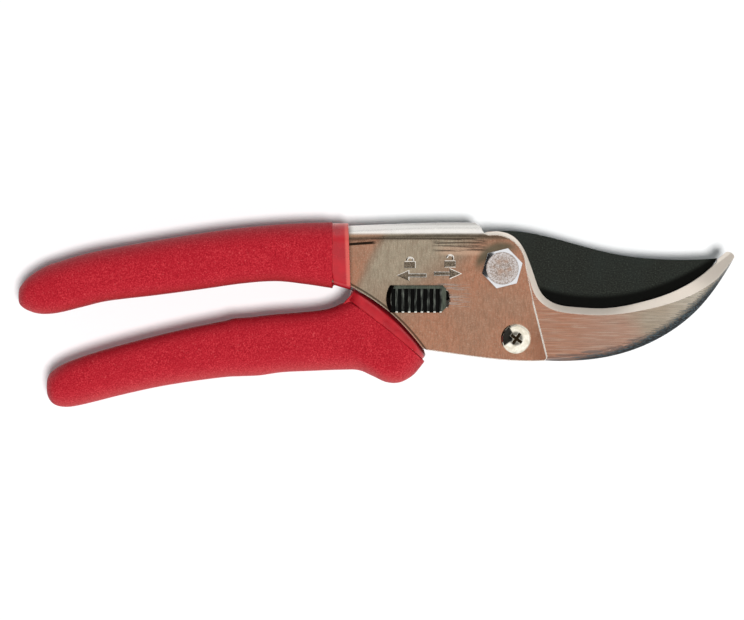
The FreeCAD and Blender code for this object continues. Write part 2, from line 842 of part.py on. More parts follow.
def hex_prism(label, height, flats, high, chamfer_low, chamfer_high):
    """Hexagonal head or nut whose corners are turned off at either end."""
    body = new_body(label, height)
    outline = new_sketch(body, "outline")
    hexagon(outline, flats)
    pad(body, outline, high)
    corner = value(flats) / math.sqrt(3)
    face = HEX_FLAT * value(flats) / 2
    tall = value(high)
    slope = math.tan(math.radians(30))
    for name, wanted, end, inward in (("low", chamfer_low, 0.0, 1), ("high", chamfer_high, tall, -1)):
        if not wanted:
            continue
        rim = new_sketch(body, f"rim_{name}", "0", "XZ_Plane")
        draw(rim, [
            (face, end),
            ("line", (corner + 1, end)),
            ("line", (corner + 1, end + inward * slope * (corner + 1 - face))),
        ])
        before = body.Tip.Shape.Volume
        groove = body.newObject("PartDesign::Groove", f"{label}_rim_{name}_groove")
        groove.Profile = rim
        groove.ReferenceAxis = (rim, ["V_Axis"])
        groove.Angle = 360
        body.Tip = groove
        doc.recompute()
        if not groove.Shape.Volume < before:
            raise RuntimeError(f"{groove.Name} cuts nothing")
    return body


def pivot_bolt():
    body = hex_prism("pivot_bolt", FRONT_FACE, "Sizes.bolt_flats", "Sizes.bolt_head_high", False, True)
    radius = size("bolt_dia") / 2
    length = value(FRONT_FACE)
    tip = size("bolt_proud") * 0.7
    turned(body, "shank", [
        (0.0, 0.0), (radius, 0.0), (radius, tip - length), (radius - tip, -length), (0.0, -length),
    ])
    return body


def pivot_bushing():
    body = new_body("pivot_bushing", BACK_INNER)
    ring = new_sketch(body, "ring")
    draw_circle(ring, "0", "0", "Sizes.bushing_dia / 2")
    pad(body, ring, f"{HOOK_BACK} - {BACK_INNER}")
    drill(body, "bore", "0", "0", "Sizes.bolt_dia / 2 + Sizes.bolt_fit")
    return body


def washer(label, height, outer, bore, thick):
    body = new_body(label, height)
    ring = new_sketch(body, "ring")
    draw_circle(ring, "0", "0", outer)
    pad(body, ring, thick)
    drill(body, "bore", "0", "0", bore)
    return body


def pivot_shim():
    return washer(
        "pivot_shim", BACK_INNER, "Sizes.bushing_dia / 2 + Sizes.shim_rim",
        "Sizes.bushing_dia / 2 + Sizes.bushing_fit", "Sizes.shim_thick",
    )


def pivot_washer():
    return washer(
        "pivot_washer", f"{BACK_FACE} - Sizes.washer_thick", "Sizes.washer_dia / 2",
        "Sizes.bolt_dia / 2 + Sizes.bolt_fit", "Sizes.washer_thick",
    )


def pivot_nut():
    """Lock nut: a hexagon with a narrower collar at its outer end."""
    body = hex_prism(
        "pivot_nut", "Sizes.bolt_proud + Sizes.nut_collar_high", "Sizes.bolt_flats",
        "Sizes.nut_high - Sizes.nut_collar_high", True, True,
    )
    ring = new_sketch(body, "collar")
    draw_circle(ring, "0", "0", "Sizes.nut_collar_dia / 2")
    pad(body, ring, "Sizes.nut_collar_high", backwards=True)
    drill(body, "bore", "0", "0", "Sizes.bolt_dia / 2 + Sizes.bolt_fit")
    return body


def place_at(body, x, y):
    body.setExpression("Placement.Base.x", x)
    body.setExpression("Placement.Base.y", y)
    return body


# Angle of the recess in the screw's head, as it was tightened.
SCREW_TURN = 54.0


def cap_point(radius, high, share, base):
    """Point on a round cap, at a share of its radius from the axis."""
    sphere = (radius ** 2 + high ** 2) / (2 * high)
    x = radius * share
    return (x, base + high - sphere + math.sqrt(sphere ** 2 - x ** 2))


def hook_screw():
    """Domed cross-recess screw that clamps the hook to the front plate."""
    body = new_body("hook_screw", FRONT_FACE)
    head = size("screw_head_dia") / 2
    high = size("screw_head_high")
    rim = high * 0.16
    shank = size("screw_dia") / 2
    length = value(f"{FRONT_FACE} - {BACK_FACE} + Sizes.hook_nut_high + Sizes.screw_proud")
    section = new_sketch(body, "section", "0", "XZ_Plane")
    draw(section, [
        (0.0, high),
        ("arc", cap_point(head, high - rim, 0.5, rim), (head, rim)),
        ("line", (head, 0.0)),
        ("line", (shank, 0.0)),
        ("line", (shank, -length + 0.5)),
        ("line", (shank - 0.5, -length)),
        ("line", (0.0, -length)),
    ])
    solid = body.newObject("PartDesign::Revolution", "hook_screw_turn")
    solid.Profile = section
    solid.ReferenceAxis = (section, ["V_Axis"])
    solid.Angle = 360
    body.Tip = solid
    doc.recompute()
    long = size("screw_cross_long") / 2
    wide = size("screw_cross_wide") / 2
    cross = new_sketch(body, "cross", "Sizes.screw_head_high")
    draw(cross, [
        (long, -wide), ("line", (long, wide)), ("line", (wide, wide)), ("line", (wide, long)),
        ("line", (-wide, long)), ("line", (-wide, wide)), ("line", (-long, wide)), ("line", (-long, -wide)),
        ("line", (-wide, -wide)), ("line", (-wide, -long)), ("line", (wide, -long)), ("line", (wide, -wide)),
    ])
    pocket(body, cross, "Sizes.screw_cross_deep")
    body.Placement = FreeCAD.Placement(Vector(0, 0, 0), Rotation(Vector(0, 0, 1), SCREW_TURN))
    body.setExpression("Placement.Base.z", FRONT_FACE)
    return place_at(body, "Sizes.screw_x", "Sizes.screw_y")


def hook_spacer():
    body = washer(
        "hook_spacer", BACK_INNER, "Sizes.spacer_dia / 2",
        "Sizes.screw_dia / 2 + Sizes.bolt_fit", f"{HOOK_BACK} - {BACK_INNER}",
    )
    return place_at(body, "Sizes.screw_x", "Sizes.screw_y")


def hook_nut():
    body = hex_prism(
        "hook_nut", f"{BACK_FACE} - Sizes.hook_nut_high", "Sizes.hook_nut_flats",
        "Sizes.hook_nut_high", True, True,
    )
    drill(body, "bore", "0", "0", "Sizes.screw_dia / 2 + Sizes.bolt_fit")
    return place_at(body, "Sizes.screw_x", "Sizes.screw_y")


def blade_rivets():
    """Two flush rivets through the tang and the lower handle's back wall."""
    solids = []
    for x, y in RIVETS:
        length = value(f"{BLADE_FRONT} - {LOWER_BACK}")
        solids.append(Part.makeCylinder(size("rivet_dia") / 2, length, Vector(x, y, 0)))
    rivets = doc.addObject("Part::Feature", "blade_rivets")
    rivets.Label = "blade_rivets"
    rivets.Shape = Part.Compound(solids)
    rivets.setExpression("Placement.Base.z", LOWER_BACK)
    return rivets


# ---------------------------------------------------------- lock and spring


def lock_button():
    """Ribbed slider whose stem runs in the slot of the front plate."""
    body = new_body("lock_button", f"{FRONT_FACE} + Sizes.button_lift")
    x = size("slot_x") - size("lock_travel") / 2
    y = size("slot_y")
    left = x - size("button_long") / 2 + size("button_shift")
    right = left + size("button_long")
    half = size("button_wide") / 2
    border = size("button_border")
    bow = size("button_round")
    corner = size("button_corner")
    base = new_sketch(body, "base")
    draw(base, [
        (left + bow, y - half),
        ("line", (right - corner, y - half)),
        ("line", (right, y - half + corner)),
        ("line", (right, y + half - border)),
        ("line", (right - border, y + half)),
        ("line", (left + bow, y + half)),
        ("arc", (left, y), (left + bow, y - half)),
    ])
    block = pad(body, base, "Sizes.button_high")
    high = size("button_high")
    # The nose slopes to the thumb; the other edges are only broken.
    nose = edges_where(block, lambda edge, middle: level(edge, middle, high) and middle.x < left + bow / 2)
    sloped = chamfer(body, nose, "Sizes.button_nose", block)
    straight = edges_where(
        sloped,
        lambda edge, middle: level(edge, middle, high)
        and (middle.x > right - corner or middle.y > y + half - border / 2),
    )
    chamfer(body, straight, "Sizes.button_edge", sloped)
    gap = new_sketch(body, "groove", "Sizes.button_high")
    first = left + size("button_nose")
    draw(gap, [
        (first, y - half - 1),
        ("line", (first + size("rib_gap"), y - half - 1)),
        ("line", (first + size("rib_gap"), y + half - border)),
        ("line", (first, y + half - border)),
    ])
    groove = pocket(body, gap, "Sizes.button_high - Sizes.button_base")
    ribs = body.newObject("PartDesign::LinearPattern", "lock_button_ribs")
    ribs.Originals = [groove]
    ribs.Direction = (gap, ["H_Axis"])
    ribs.Mode = "Spacing"
    ribs.setExpression("Offset", "Sizes.rib_pitch")
    ribs.setExpression("Occurrences", "Sizes.rib_count")
    body.Tip = ribs
    doc.recompute()
    stem = new_sketch(body, "stem")
    draw(stem, slot_path(
        "Sizes.slot_long - Sizes.lock_travel - 2 * Sizes.stem_fit", "Sizes.slot_wide - 2 * Sizes.stem_fit",
        -size("lock_travel") / 2,
    ))
    pad(body, stem, f"{FRONT_FACE} + Sizes.button_lift - {CATCH_TOP}", backwards=True)
    pilot = new_sketch(body, "pilot", f"{CATCH_TOP} - {FRONT_FACE} - Sizes.button_lift")
    draw_circle(pilot, STEM_X, "Sizes.slot_y", "Sizes.lock_screw_dia / 2")
    pocket(body, pilot, "Sizes.pilot_deep", backwards=True)
    return body


STEM_X = "(Sizes.slot_x - Sizes.lock_travel / 2)"


def lock_catch():
    """Plate behind the front plate with the peg that drops into the tang."""
    body = new_body("lock_catch", CATCH_BACK)
    x = value(STEM_X)
    y = size("slot_y")
    long = size("catch_long") / 2
    wide = size("catch_wide") / 2
    left = min(x - long, PEG_X - size("peg_side") / 2 - 0.6)
    plate = new_sketch(body, "plate")
    draw(plate, [
        (left, y - wide),
        ("line", (x + long, y - wide)),
        ("line", (x + long, y + wide)),
        ("line", (left, y + wide)),
    ])
    pad(body, plate, "Sizes.catch_thick")
    side = size("peg_side") / 2
    peg = new_sketch(body, "peg")
    draw(peg, [
        (PEG_X - side, y - side),
        ("line", (PEG_X + side, y - side)),
        ("line", (PEG_X + side, y + side)),
        ("line", (PEG_X - side, y + side)),
    ])
    pad(body, peg, f"{CATCH_BACK} - {BLADE_FRONT} - Sizes.peg_gap", backwards=True)
    drill(body, "screw_hole", STEM_X, "Sizes.slot_y", "Sizes.lock_screw_dia / 2 + Sizes.bolt_fit")
    seat = new_sketch(body, "seat")
    draw_circle(seat, STEM_X, "Sizes.slot_y", "Sizes.lock_screw_head / 2 + Sizes.bolt_fit")
    pocket(body, seat, "Sizes.catch_thick * 0.6", backwards=True)
    return body


def lock_screw():
    """Flat headed screw, sunk in the catch, that holds it to the stem."""
    body = new_body("lock_screw", CATCH_BACK)
    head = new_sketch(body, "head")
    draw_circle(head, "0", "0", "Sizes.lock_screw_head / 2")
    pad(body, head, "Sizes.catch_thick * 0.6")
    shank = new_sketch(body, "shank")
    draw_circle(shank, "0", "0", "Sizes.lock_screw_dia / 2")
    pad(body, shank, "Sizes.catch_thick + 2.0")
    return place_at(body, STEM_X, "Sizes.slot_y")


def lock_leaf():
    """Bowed leaf between the catch and the front plate."""
    body = new_body("lock_leaf", CATCH_TOP)
    x = value(STEM_X)
    y = size("slot_y")
    long = size("catch_long") / 2 - 0.6
    thick = size("leaf_thick")
    bow = size("leaf_bow")
    side = new_sketch(body, "side", "-1 * Sizes.slot_y", "XZ_Plane")
    draw(side, [
        (x - long, bow),
        ("arc", (x, 0.0), (x + long, bow)),
        ("line", (x + long, bow + thick)),
        ("arc", (x, thick), (x - long, bow + thick)),
    ])
    pad(body, side, "Sizes.catch_wide - 0.6", both_ways=True)
    window = new_sketch(body, "window")
    draw(window, slot_path(
        "Sizes.slot_long - Sizes.lock_travel + 0.4", "Sizes.slot_wide + 0.4", -size("lock_travel") / 2,
    ))
    pocket(body, window)
    return body


def spring_stud():
    """Stepped stud on the tang that the spring's coil sits on."""
    body = new_body("spring_stud", BLADE_FRONT)
    post = new_sketch(body, "post")
    draw_circle(post, "0", "0", "Sizes.coil_radius - Sizes.wire_dia / 2 - 0.15")
    pad(body, post, "Sizes.wire_dia * (Sizes.coil_turns + 1) + 2 * Sizes.coil_lift - 1.2")
    return place_at(body, "Sizes.stud_x", "Sizes.stud_y")


def return_spring():
    """Torsion spring: two turns round the stud and two straight legs."""
    wire = size("wire_dia") / 2
    radius = size("coil_radius")
    pitch = size("wire_dia") + 0.05
    turns = size("coil_turns")
    centre = Vector(size("stud_x"), size("stud_y"), 0)
    # The lower leg runs into the lower channel, the upper one to the fold.
    upper_end = Vector(-36.0, 8.6, 0)
    lower_end = Vector(-22.5, -15.5, 0)
    start = touching_point(centre, radius, lower_end, -1)
    finish = touching_point(centre, radius, upper_end, 1)
    start_angle = math.degrees(math.atan2(start.y - centre.y, start.x - centre.x))
    finish_angle = math.degrees(math.atan2(finish.y - centre.y, finish.x - centre.x))
    sweep = 360.0 * (turns - 1) + (finish_angle - start_angle) % 360.0
    coil = Part.makeHelix(pitch, pitch * sweep / 360.0, radius)
    coil.rotate(Vector(0, 0, 0), Vector(0, 0, 1), start_angle)
    coil.translate(centre)
    rise = Vector(0, 0, pitch * sweep / 360.0)
    route = [Part.makeLine(lower_end, start)] + list(coil.Edges)
    route.append(Part.makeLine(finish + rise, upper_end + rise))
    heading = (start - lower_end).normalize()
    profile = Part.Wire(Part.makeCircle(wire, lower_end, heading))
    spring = doc.addObject("Part::Feature", "return_spring")
    spring.Label = "return_spring"
    spring.Shape = Part.Wire(route).makePipeShell([profile], True, True)
    spring.setExpression("Placement.Base.z", f"{BLADE_FRONT} + Sizes.wire_dia / 2 + Sizes.coil_lift")
    return spring


def touching_point(centre, radius, far, turn):
    """Where a straight line from a far point touches the coil."""
    away = far - centre
    angle = math.atan2(away.y, away.x) - turn * math.acos(radius / away.Length)
    return centre + Vector(radius * math.cos(angle), radius * math.sin(angle), 0)


BUILDERS = [
    upper_handle, upper_grip, hook, hook_screw, hook_spacer, hook_nut,
    pivot_bolt, pivot_bushing, pivot_washer, pivot_nut, pivot_shim,
    blade, lower_handle, blade_rivets, lower_grip, spring_stud, return_spring,
    lock_button, lock_catch, lock_screw, lock_leaf,
]

built = []
for build in BUILDERS:
    built.append(build())
doc.recompute()

for item in doc.Objects:
    if "Invalid" in item.State or "Error" in item.State:
        raise RuntimeError(f"{item.Name} failed: {item.State}")

os.makedirs("parts", exist_ok=True)
for item in built:
    shape = item.Shape
    if shape.isNull() or not shape.isValid() or not shape.Solids:
        raise RuntimeError(f"{item.Label} has no valid solid")
    print(item.Label, len(shape.Solids), round(shape.Volume, 1), shape.BoundBox)
    shape.exportStep(f"parts/{item.Label}.step")
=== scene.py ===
import math

import bmesh
import bpy
import numpy as np
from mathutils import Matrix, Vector

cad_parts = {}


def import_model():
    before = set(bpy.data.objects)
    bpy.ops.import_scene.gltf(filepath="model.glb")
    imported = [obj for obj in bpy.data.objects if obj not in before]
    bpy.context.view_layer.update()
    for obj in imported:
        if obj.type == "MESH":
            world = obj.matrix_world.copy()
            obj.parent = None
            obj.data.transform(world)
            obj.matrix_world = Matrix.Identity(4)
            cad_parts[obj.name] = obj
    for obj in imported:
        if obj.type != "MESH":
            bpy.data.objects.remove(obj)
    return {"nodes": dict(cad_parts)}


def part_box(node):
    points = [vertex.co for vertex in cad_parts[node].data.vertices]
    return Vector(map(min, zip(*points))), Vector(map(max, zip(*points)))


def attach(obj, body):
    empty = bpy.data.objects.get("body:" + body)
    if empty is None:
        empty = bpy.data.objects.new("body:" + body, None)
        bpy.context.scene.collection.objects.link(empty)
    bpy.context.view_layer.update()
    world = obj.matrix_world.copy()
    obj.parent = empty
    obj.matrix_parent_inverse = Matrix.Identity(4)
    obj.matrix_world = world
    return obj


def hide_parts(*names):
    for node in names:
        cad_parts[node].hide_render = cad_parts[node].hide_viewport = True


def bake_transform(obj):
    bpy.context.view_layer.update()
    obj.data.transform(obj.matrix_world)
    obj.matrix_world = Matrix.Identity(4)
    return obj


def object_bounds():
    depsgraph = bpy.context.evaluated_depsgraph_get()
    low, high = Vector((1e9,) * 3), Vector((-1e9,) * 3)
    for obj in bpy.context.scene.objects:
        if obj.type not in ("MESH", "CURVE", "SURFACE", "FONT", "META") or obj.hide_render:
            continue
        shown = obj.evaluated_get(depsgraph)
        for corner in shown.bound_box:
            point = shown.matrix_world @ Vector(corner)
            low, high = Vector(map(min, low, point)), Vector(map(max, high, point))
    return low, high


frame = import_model()
cad_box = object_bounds()
nodes = frame["nodes"]

MM = 0.001
MIDDLE = (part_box("upper_handle")[0].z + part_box("upper_handle")[1].z) / 2
PLATE_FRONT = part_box("upper_handle")[1].z
BOLT_AXIS = tuple((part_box("pivot_bolt")[0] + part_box("pivot_bolt")[1]) / 2)[:2]
SCREW_AXIS = tuple((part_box("hook_screw")[0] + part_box("hook_screw")[1]) / 2)[:2]
# The side plates' edge beside the lower grip is an arc about this point of the plan.
SLANT_CENTRE, SLANT_RADIUS = (-68.81 * MM, -55.83 * MM), 57.12 * MM


# ------------------------------------------------------------- material tools


class Nodes:
    """Short calls to add nodes to a tree."""

    def __init__(self, tree):
        self.tree = tree

    def add(self, kind, inputs=None, **settings):
        node = self.tree.nodes.new(kind)
        for name, value in settings.items():
            setattr(node, name, value)
        for name, value in (inputs or {}).items():
            if isinstance(value, bpy.types.NodeSocket):
                self.tree.links.new(value, node.inputs[name])
            else:
                node.inputs[name].default_value = value
        return node

    def span(self, value, low, high, start=0.0, end=1.0):
        """Number that goes from start to end as value goes from low to high."""
        node = self.add("ShaderNodeMapRange", {
            "Value": value, "From Min": low, "From Max": high, "To Min": start, "To Max": end,
        }, interpolation_type="SMOOTHSTEP")
        return node.outputs[0]

    def math(self, operation, a, b):
        return self.add("ShaderNodeMath", {0: a, 1: b}, operation=operation).outputs[0]

    def chain(self, operation, first, *others):
        for other in others:
            first = self.math(operation, first, other)
        return first

    def total(self, *values):
        return self.chain("ADD", *values)

    def product(self, *values):
        return self.chain("MULTIPLY", *values)

    def largest(self, *values):
        return self.chain("MAXIMUM", *values)

    def minus(self, a, b):
        return self.math("SUBTRACT", a, b)

    def rest_of(self, share):
        return self.minus(1.0, share)

    def within(self, value, low, high, soft):
        """One between low and high, fading to nothing over soft on either side."""
        return self.product(self.span(value, low - soft, low), self.span(value, high + soft, high))

    def area(self, x, y, along, up):
        """One inside a rectangle of the plan; each side gives its low, high and soft."""
        return self.product(self.within(x, *along), self.within(y, *up))

    def parts(self, vector):
        """The three numbers of a vector."""
        return self.add("ShaderNodeSeparateXYZ", {"Vector": vector}).outputs


class Shader(Nodes):
    """A node material with a principled shader."""

    def __init__(self, name, **sockets):
        self.material = bpy.data.materials.new(name)
        self.material.use_nodes = True
        super().__init__(self.material.node_tree)
        self.surface = self.tree.nodes["Principled BSDF"]
        for socket, value in sockets.items():
            self.surface.inputs[socket.replace("_", " ")].default_value = value
        self.place = self.add("ShaderNodeTexCoord").outputs["Object"]

    def noise(self, scale, detail, stretch=(1, 1, 1), rough=0.5):
        place = self.add("ShaderNodeMapping", {"Vector": self.place, "Scale": stretch}).outputs[0]
        noise = self.add("ShaderNodeTexNoise", {
            "Vector": place, "Scale": scale, "Detail": detail, "Roughness": rough,
        })
        return noise.outputs[0]

    def ramp(self, factor, *stops):
        """Colours over a number: each stop is a position and a colour."""
        node = self.add("ShaderNodeValToRGB", {"Fac": factor})
        points = node.color_ramp.elements
        while len(points) < len(stops):
            points.new(0.5)
        for point, (position, colour) in zip(points, stops):
            point.position = position
            point.color = colour
        return node.outputs[0]

    def mix(self, factor, a, b, blend="MIX"):
        inputs = {0: factor, 6: a, 7: b}
        return self.add("ShaderNodeMix", inputs, data_type="RGBA", blend_type=blend).outputs[2]

    def layered(self, colour, *layers):
        """A colour under layers; each is a mask and the colour that it lays on."""
        for mask, tint in layers:
            colour = self.mix(mask, colour, tint)
        return colour

    def axes(self):
        """Place on the object, in metres."""
        return self.parts(self.place)

    def facing(self):
        """Direction of the surface, in the object's own frame."""
        return self.parts(self.add("ShaderNodeTexCoord").outputs["Normal"])

    def away_from(self, x, y):
        """Distance in plan from an upright axis, in metres."""
        vector = "ShaderNodeVectorMath"
        flat = self.add(vector, {0: self.place, 1: (1, 1, 0)}, operation="MULTIPLY").outputs[0]
        return self.add(vector, {0: flat, 1: (x, y, 0)}, operation="DISTANCE").outputs["Value"]

    def past_slant(self):
        """Distance in plan from the plates' slanted edge, above nothing on the plates' side."""
        return self.minus(self.away_from(*SLANT_CENTRE), SLANT_RADIUS)

    def bump(self, height, distance, strength=1.0, under=None):
        inputs = {"Height": height, "Distance": distance, "Strength": strength}
        if under is not None:
            inputs["Normal"] = under
        return self.add("ShaderNodeBump", inputs).outputs[0]

    def rounded_edges(self, radius):
        return self.add("ShaderNodeBevel", {"Radius": radius}, samples=6).outputs[0]

    def near_edge(self, rounded):
        """One on a sharp edge, nothing where the rounded direction is the true one."""
        true = self.add("ShaderNodeNewGeometry").outputs["True Normal"]
        along = self.add("ShaderNodeVectorMath", {0: rounded, 1: true}, operation="DOT_PRODUCT")
        return self.span(along.outputs["Value"], 0.995, 0.9)

    def set(self, **sockets):
        for socket, value in sockets.items():
            self.tree.links.new(value, self.surface.inputs[socket.replace("_", " ")])
        return self.material


def srgb(red, green, blue):
    """Colour for a socket, from the three 0 to 255 numbers of a screen colour."""
    parts = [part / 255 for part in (red, green, blue)]
    return (*[p / 12.92 if p <= 0.04045 else ((p + 0.055) / 1.055) ** 2.4 for p in parts], 1.0)


def grey(level):
    return (level, level, level, 1.0)


# ------------------------------------------------------------------ materials
# Places are in metres of the part's own frame, where +X points to the tips.


def red_vinyl():
    """Dipped vinyl skin: fine pebbles that catch the light, painted light below and painted shade
    above.
    """
    shader = Shader("red_vinyl", Specular_IOR_Level=0.32)
    pebbles = shader.noise(2700, 2.0, rough=0.6)
    patches = shader.span(shader.noise(200, 3.0), 0.35, 0.7, 0.0, 0.4)
    sparks = shader.span(shader.noise(2100, 1.0), 0.66, 0.76)
    facing_y = shader.facing()[1]
    # Painted light on the sides that face down, painted shade on those that face up.
    lit_below = shader.span(facing_y, -0.5, -0.98, 0.0, 0.25)
    above = shader.span(facing_y, 0.3, 0.9, 0.0, 0.4)
    skin = shader.ramp(
        pebbles,
        (0.32, srgb(150, 16, 30)), (0.5, srgb(178, 30, 44)), (0.68, srgb(202, 56, 64)),
    )
    return shader.set(
        Base_Color=shader.layered(
            skin,
            (patches, srgb(166, 24, 38)),
            (lit_below, srgb(214, 76, 72)),
            (above, srgb(140, 14, 30)),
            (shader.product(sparks, 0.35), srgb(230, 104, 104)),
        ),
        Roughness=shader.span(pebbles, 0.3, 0.7, 0.72, 0.5),
        Normal=shader.bump(pebbles, 0.00015, 0.6),
    )


def smooth_vinyl():
    """Collar at a grip's mouth, glossier than the skin, with a painted highlight on the upper
    one's rim.
    """
    shader = Shader("smooth_vinyl", Coat_Weight=0.15, Coat_Roughness=0.12)
    x, y = shader.axes()[:2]
    waves = shader.noise(320, 2.0)
    grain = shader.noise(2400, 2.0)
    across = shader.minus(x, shader.product(y, -0.035))
    # Painted highlights along the upper collar's right edge and over its bend.
    rim_highlight = shader.product(shader.span(across, -0.0443, -0.0436), shader.span(y, -0.0052, -0.0046))
    highlight_over_bend = shader.span(y, 0.0118, 0.0126, 0.0, 0.5)
    # Painted shadow where the lower collar meets the plates.
    meets = shader.span(shader.past_slant(), -0.0013, -0.0005)
    plate_edge_shadow = shader.product(meets, shader.span(y, -0.0050, -0.0062), 0.75)
    pale = srgb(232, 112, 100)
    return shader.set(
        Base_Color=shader.layered(
            shader.ramp(waves, (0.3, srgb(170, 26, 38)), (0.7, srgb(190, 38, 48))),
            (shader.product(rim_highlight, 0.6), pale),
            (highlight_over_bend, pale),
            (plate_edge_shadow, srgb(34, 4, 6)),
        ),
        Roughness=shader.span(waves, 0.3, 0.7, 0.26, 0.38),
        Normal=shader.bump(grain, 0.00003, 0.5),
    )


def plating(shader, x, y):
    """Colour of the nickel: copper at either end, olive between them, a painted highlight along
    the bend and painted shade on its back.
    """
    cloud = shader.noise(45, 3.0)
    grain = shader.noise(1500, 2.0, stretch=(2.2, 0.35, 1))
    pits = shader.noise(3400, 2.0)
    toward_jaws = shader.span(shader.minus(shader.product(x, 0.8), y), -0.025, -0.003)
    toward_grip = shader.span(shader.minus(x, shader.product(y, 0.56)), -0.0355, -0.0405)
    uneven = shader.span(cloud, 0.3, 0.7, -0.22, 0.22)
    tint = shader.ramp(
        shader.total(shader.largest(toward_jaws, toward_grip), uneven),
        (0.0, srgb(178, 164, 142)), (0.5, srgb(166, 140, 118)), (1.0, srgb(192, 136, 108)),
    )
    # Painted highlight along the bend, and painted shade on its back.
    bend_highlight = shader.product(shader.span(y, 0.0092, 0.0102), 0.9)
    bend_back_shade = shader.span(y, 0.0119, 0.0129, 0.0, 0.7)
    return shader.layered(
        tint,
        (shader.span(pits, 0.45, 0.75, 0.0, 0.3), srgb(232, 206, 182)),
        (shader.span(grain, 0.4, 0.7, 0.0, 0.32), srgb(128, 98, 76)),
        (bend_highlight, srgb(226, 224, 220)),
        (bend_back_shade, srgb(140, 134, 128)),
    )


# Where the front plate's right edge crosses the X axis, and its lean back per unit of Y.
RIGHT_EDGE_X, RIGHT_EDGE_LEAN = 0.00666, 0.2516
# Marks on the front plate: low, high and soft along X, then the same along Y. The slit
# leans by SLIT_LEAN, and its Y is where it would cross X = 0.
SLIT_LEAN = 0.07
# The crease line is painted shade.
CREASE_SHADE = (-0.0365, -0.0085, 0.002), (0.00825, 0.00845, 0.00018)
SLIT = (-0.0450, -0.0368, 0.0018), (0.00955, 0.0101, 0.00018)
ROLLED = (-0.0175, -0.0062, 0.003), (0.0052, 0.0082, 0.0006)
# A patch of painted copper highlight below the bend.
COPPER_HIGHLIGHT = (-0.0150, -0.0050, 0.0045), (0.0044, 0.0056, 0.0012)
RUBBED = (-0.0162, -0.0115, 0.0035), (-0.0106, -0.0046, 0.0008)


def dark_marks(shader, x, y):
    """Painted shade in the crease where the bend meets the flat, a slit beside the grip, and
    rolling marks.
    """
    crease_shade = shader.area(x, y, *CREASE_SHADE)
    slit = shader.area(x, shader.minus(y, shader.product(x, SLIT_LEAN)), *SLIT)
    streaks = shader.span(shader.noise(560, 3.0, stretch=(0.13, 3.2, 1)), 0.48, 0.58)
    rolled = shader.product(streaks, shader.area(x, y, *ROLLED), 0.7)
    return shader.largest(shader.product(crease_shade, 0.75), slit, rolled)


def plate_steel():
    """Nickel plating on the folded plates, with their marks, patches of painted shade, and cut
    edges painted bright as highlights.
    """
    shader = Shader("plate_steel", Metallic=1.0)
    x, y = shader.axes()[:2]
    dark = dark_marks(shader, x, y)
    # Painted highlight below the bend.
    copper_highlight = shader.product(shader.area(x, y, *COPPER_HIGHLIGHT), 0.45)
    # Painted contact shadow on the plate beside the upper collar.
    collar_contact_shadow = shader.span(x, -0.0416, -0.0434, 0.0, 0.6)
    # Band of painted shade just below the bend.
    shade_below_bend = shader.product(shader.within(y, 0.0085, 0.0096, 0.0006), 0.45)
    # Ring of painted shade on the plate, up and left of the bolt.
    ring_round = shader.within(shader.away_from(*BOLT_AXIS), 0.0045, 0.0064, 0.0022)
    leaning = shader.minus(y, shader.product(x, 0.5))
    bolt_shade_ring = shader.product(ring_round, shader.span(leaning, 0.0012, 0.0058, 0.0, 0.85))
    # The plate darkens toward its lower right corner, and the edge there has a painted highlight
    # line.
    past_edge = shader.total(x, shader.product(y, RIGHT_EDGE_LEAN), -RIGHT_EDGE_X)
    near_right = shader.span(past_edge, -0.0065, -0.0015)
    corner = shader.product(near_right, shader.span(y, -0.0120, -0.0210), 0.38)
    line = shader.within(past_edge, -0.0004, 0.0003, 0.00012)
    rim_highlight = shader.product(line, shader.span(y, -0.0088, -0.0100), 0.8)
    # Rubbed patch that the lock's button slides over.
    scratches = shader.span(shader.noise(900, 3.0, stretch=(0.12, 2.4, 1)), 0.5, 0.62)
    worn = shader.product(shader.area(x, y, *RUBBED), scratches, 0.5)
    # Cut edges have a painted highlight; the one beside the lower grip is dull, with a line of
    # painted shade along it.
    beside = shader.past_slant()
    slant = shader.product(shader.span(beside, 0.0016, 0.0010), shader.span(x, -0.0205, -0.0215))
    slant_shade_line = shader.product(slant, shader.within(beside, 0.00045, 0.00075, 0.0002), 0.75)
    rounded = shader.rounded_edges(0.0006)
    edge_highlight = shader.product(shader.near_edge(rounded), shader.span(slant, 0.0, 1.0, 0.85, 0.25))
    soft = shader.noise(420, 2.0)
    normal = shader.bump(soft, 0.00006, 0.25, under=rounded)
    return shader.set(
        Base_Color=shader.layered(
            plating(shader, x, y),
            (copper_highlight, srgb(244, 202, 172)),
            (collar_contact_shadow, srgb(74, 52, 42)),
            (corner, srgb(120, 72, 50)),
            (shade_below_bend, srgb(118, 110, 90)),
            (bolt_shade_ring, srgb(98, 96, 78)),
            (dark, srgb(48, 34, 26)),
            (worn, srgb(255, 246, 236)),
            (slant_shade_line, srgb(44, 36, 22)),
            (shader.largest(edge_highlight, rim_highlight), srgb(250, 246, 236)),
        ),
        Roughness=shader.total(shader.span(soft, 0.3, 0.7, 0.2, 0.28), worn),
        Normal=shader.bump(shader.rest_of(dark), 0.00015, 0.5, under=normal),
    )


# Upper border of the hook's outer bevel, in millimetres of the plan: a cubic of X,
# highest power first.
SHADE_BORDER = (1.0585e-4, -5.166e-4, 0.01411, -25.475)


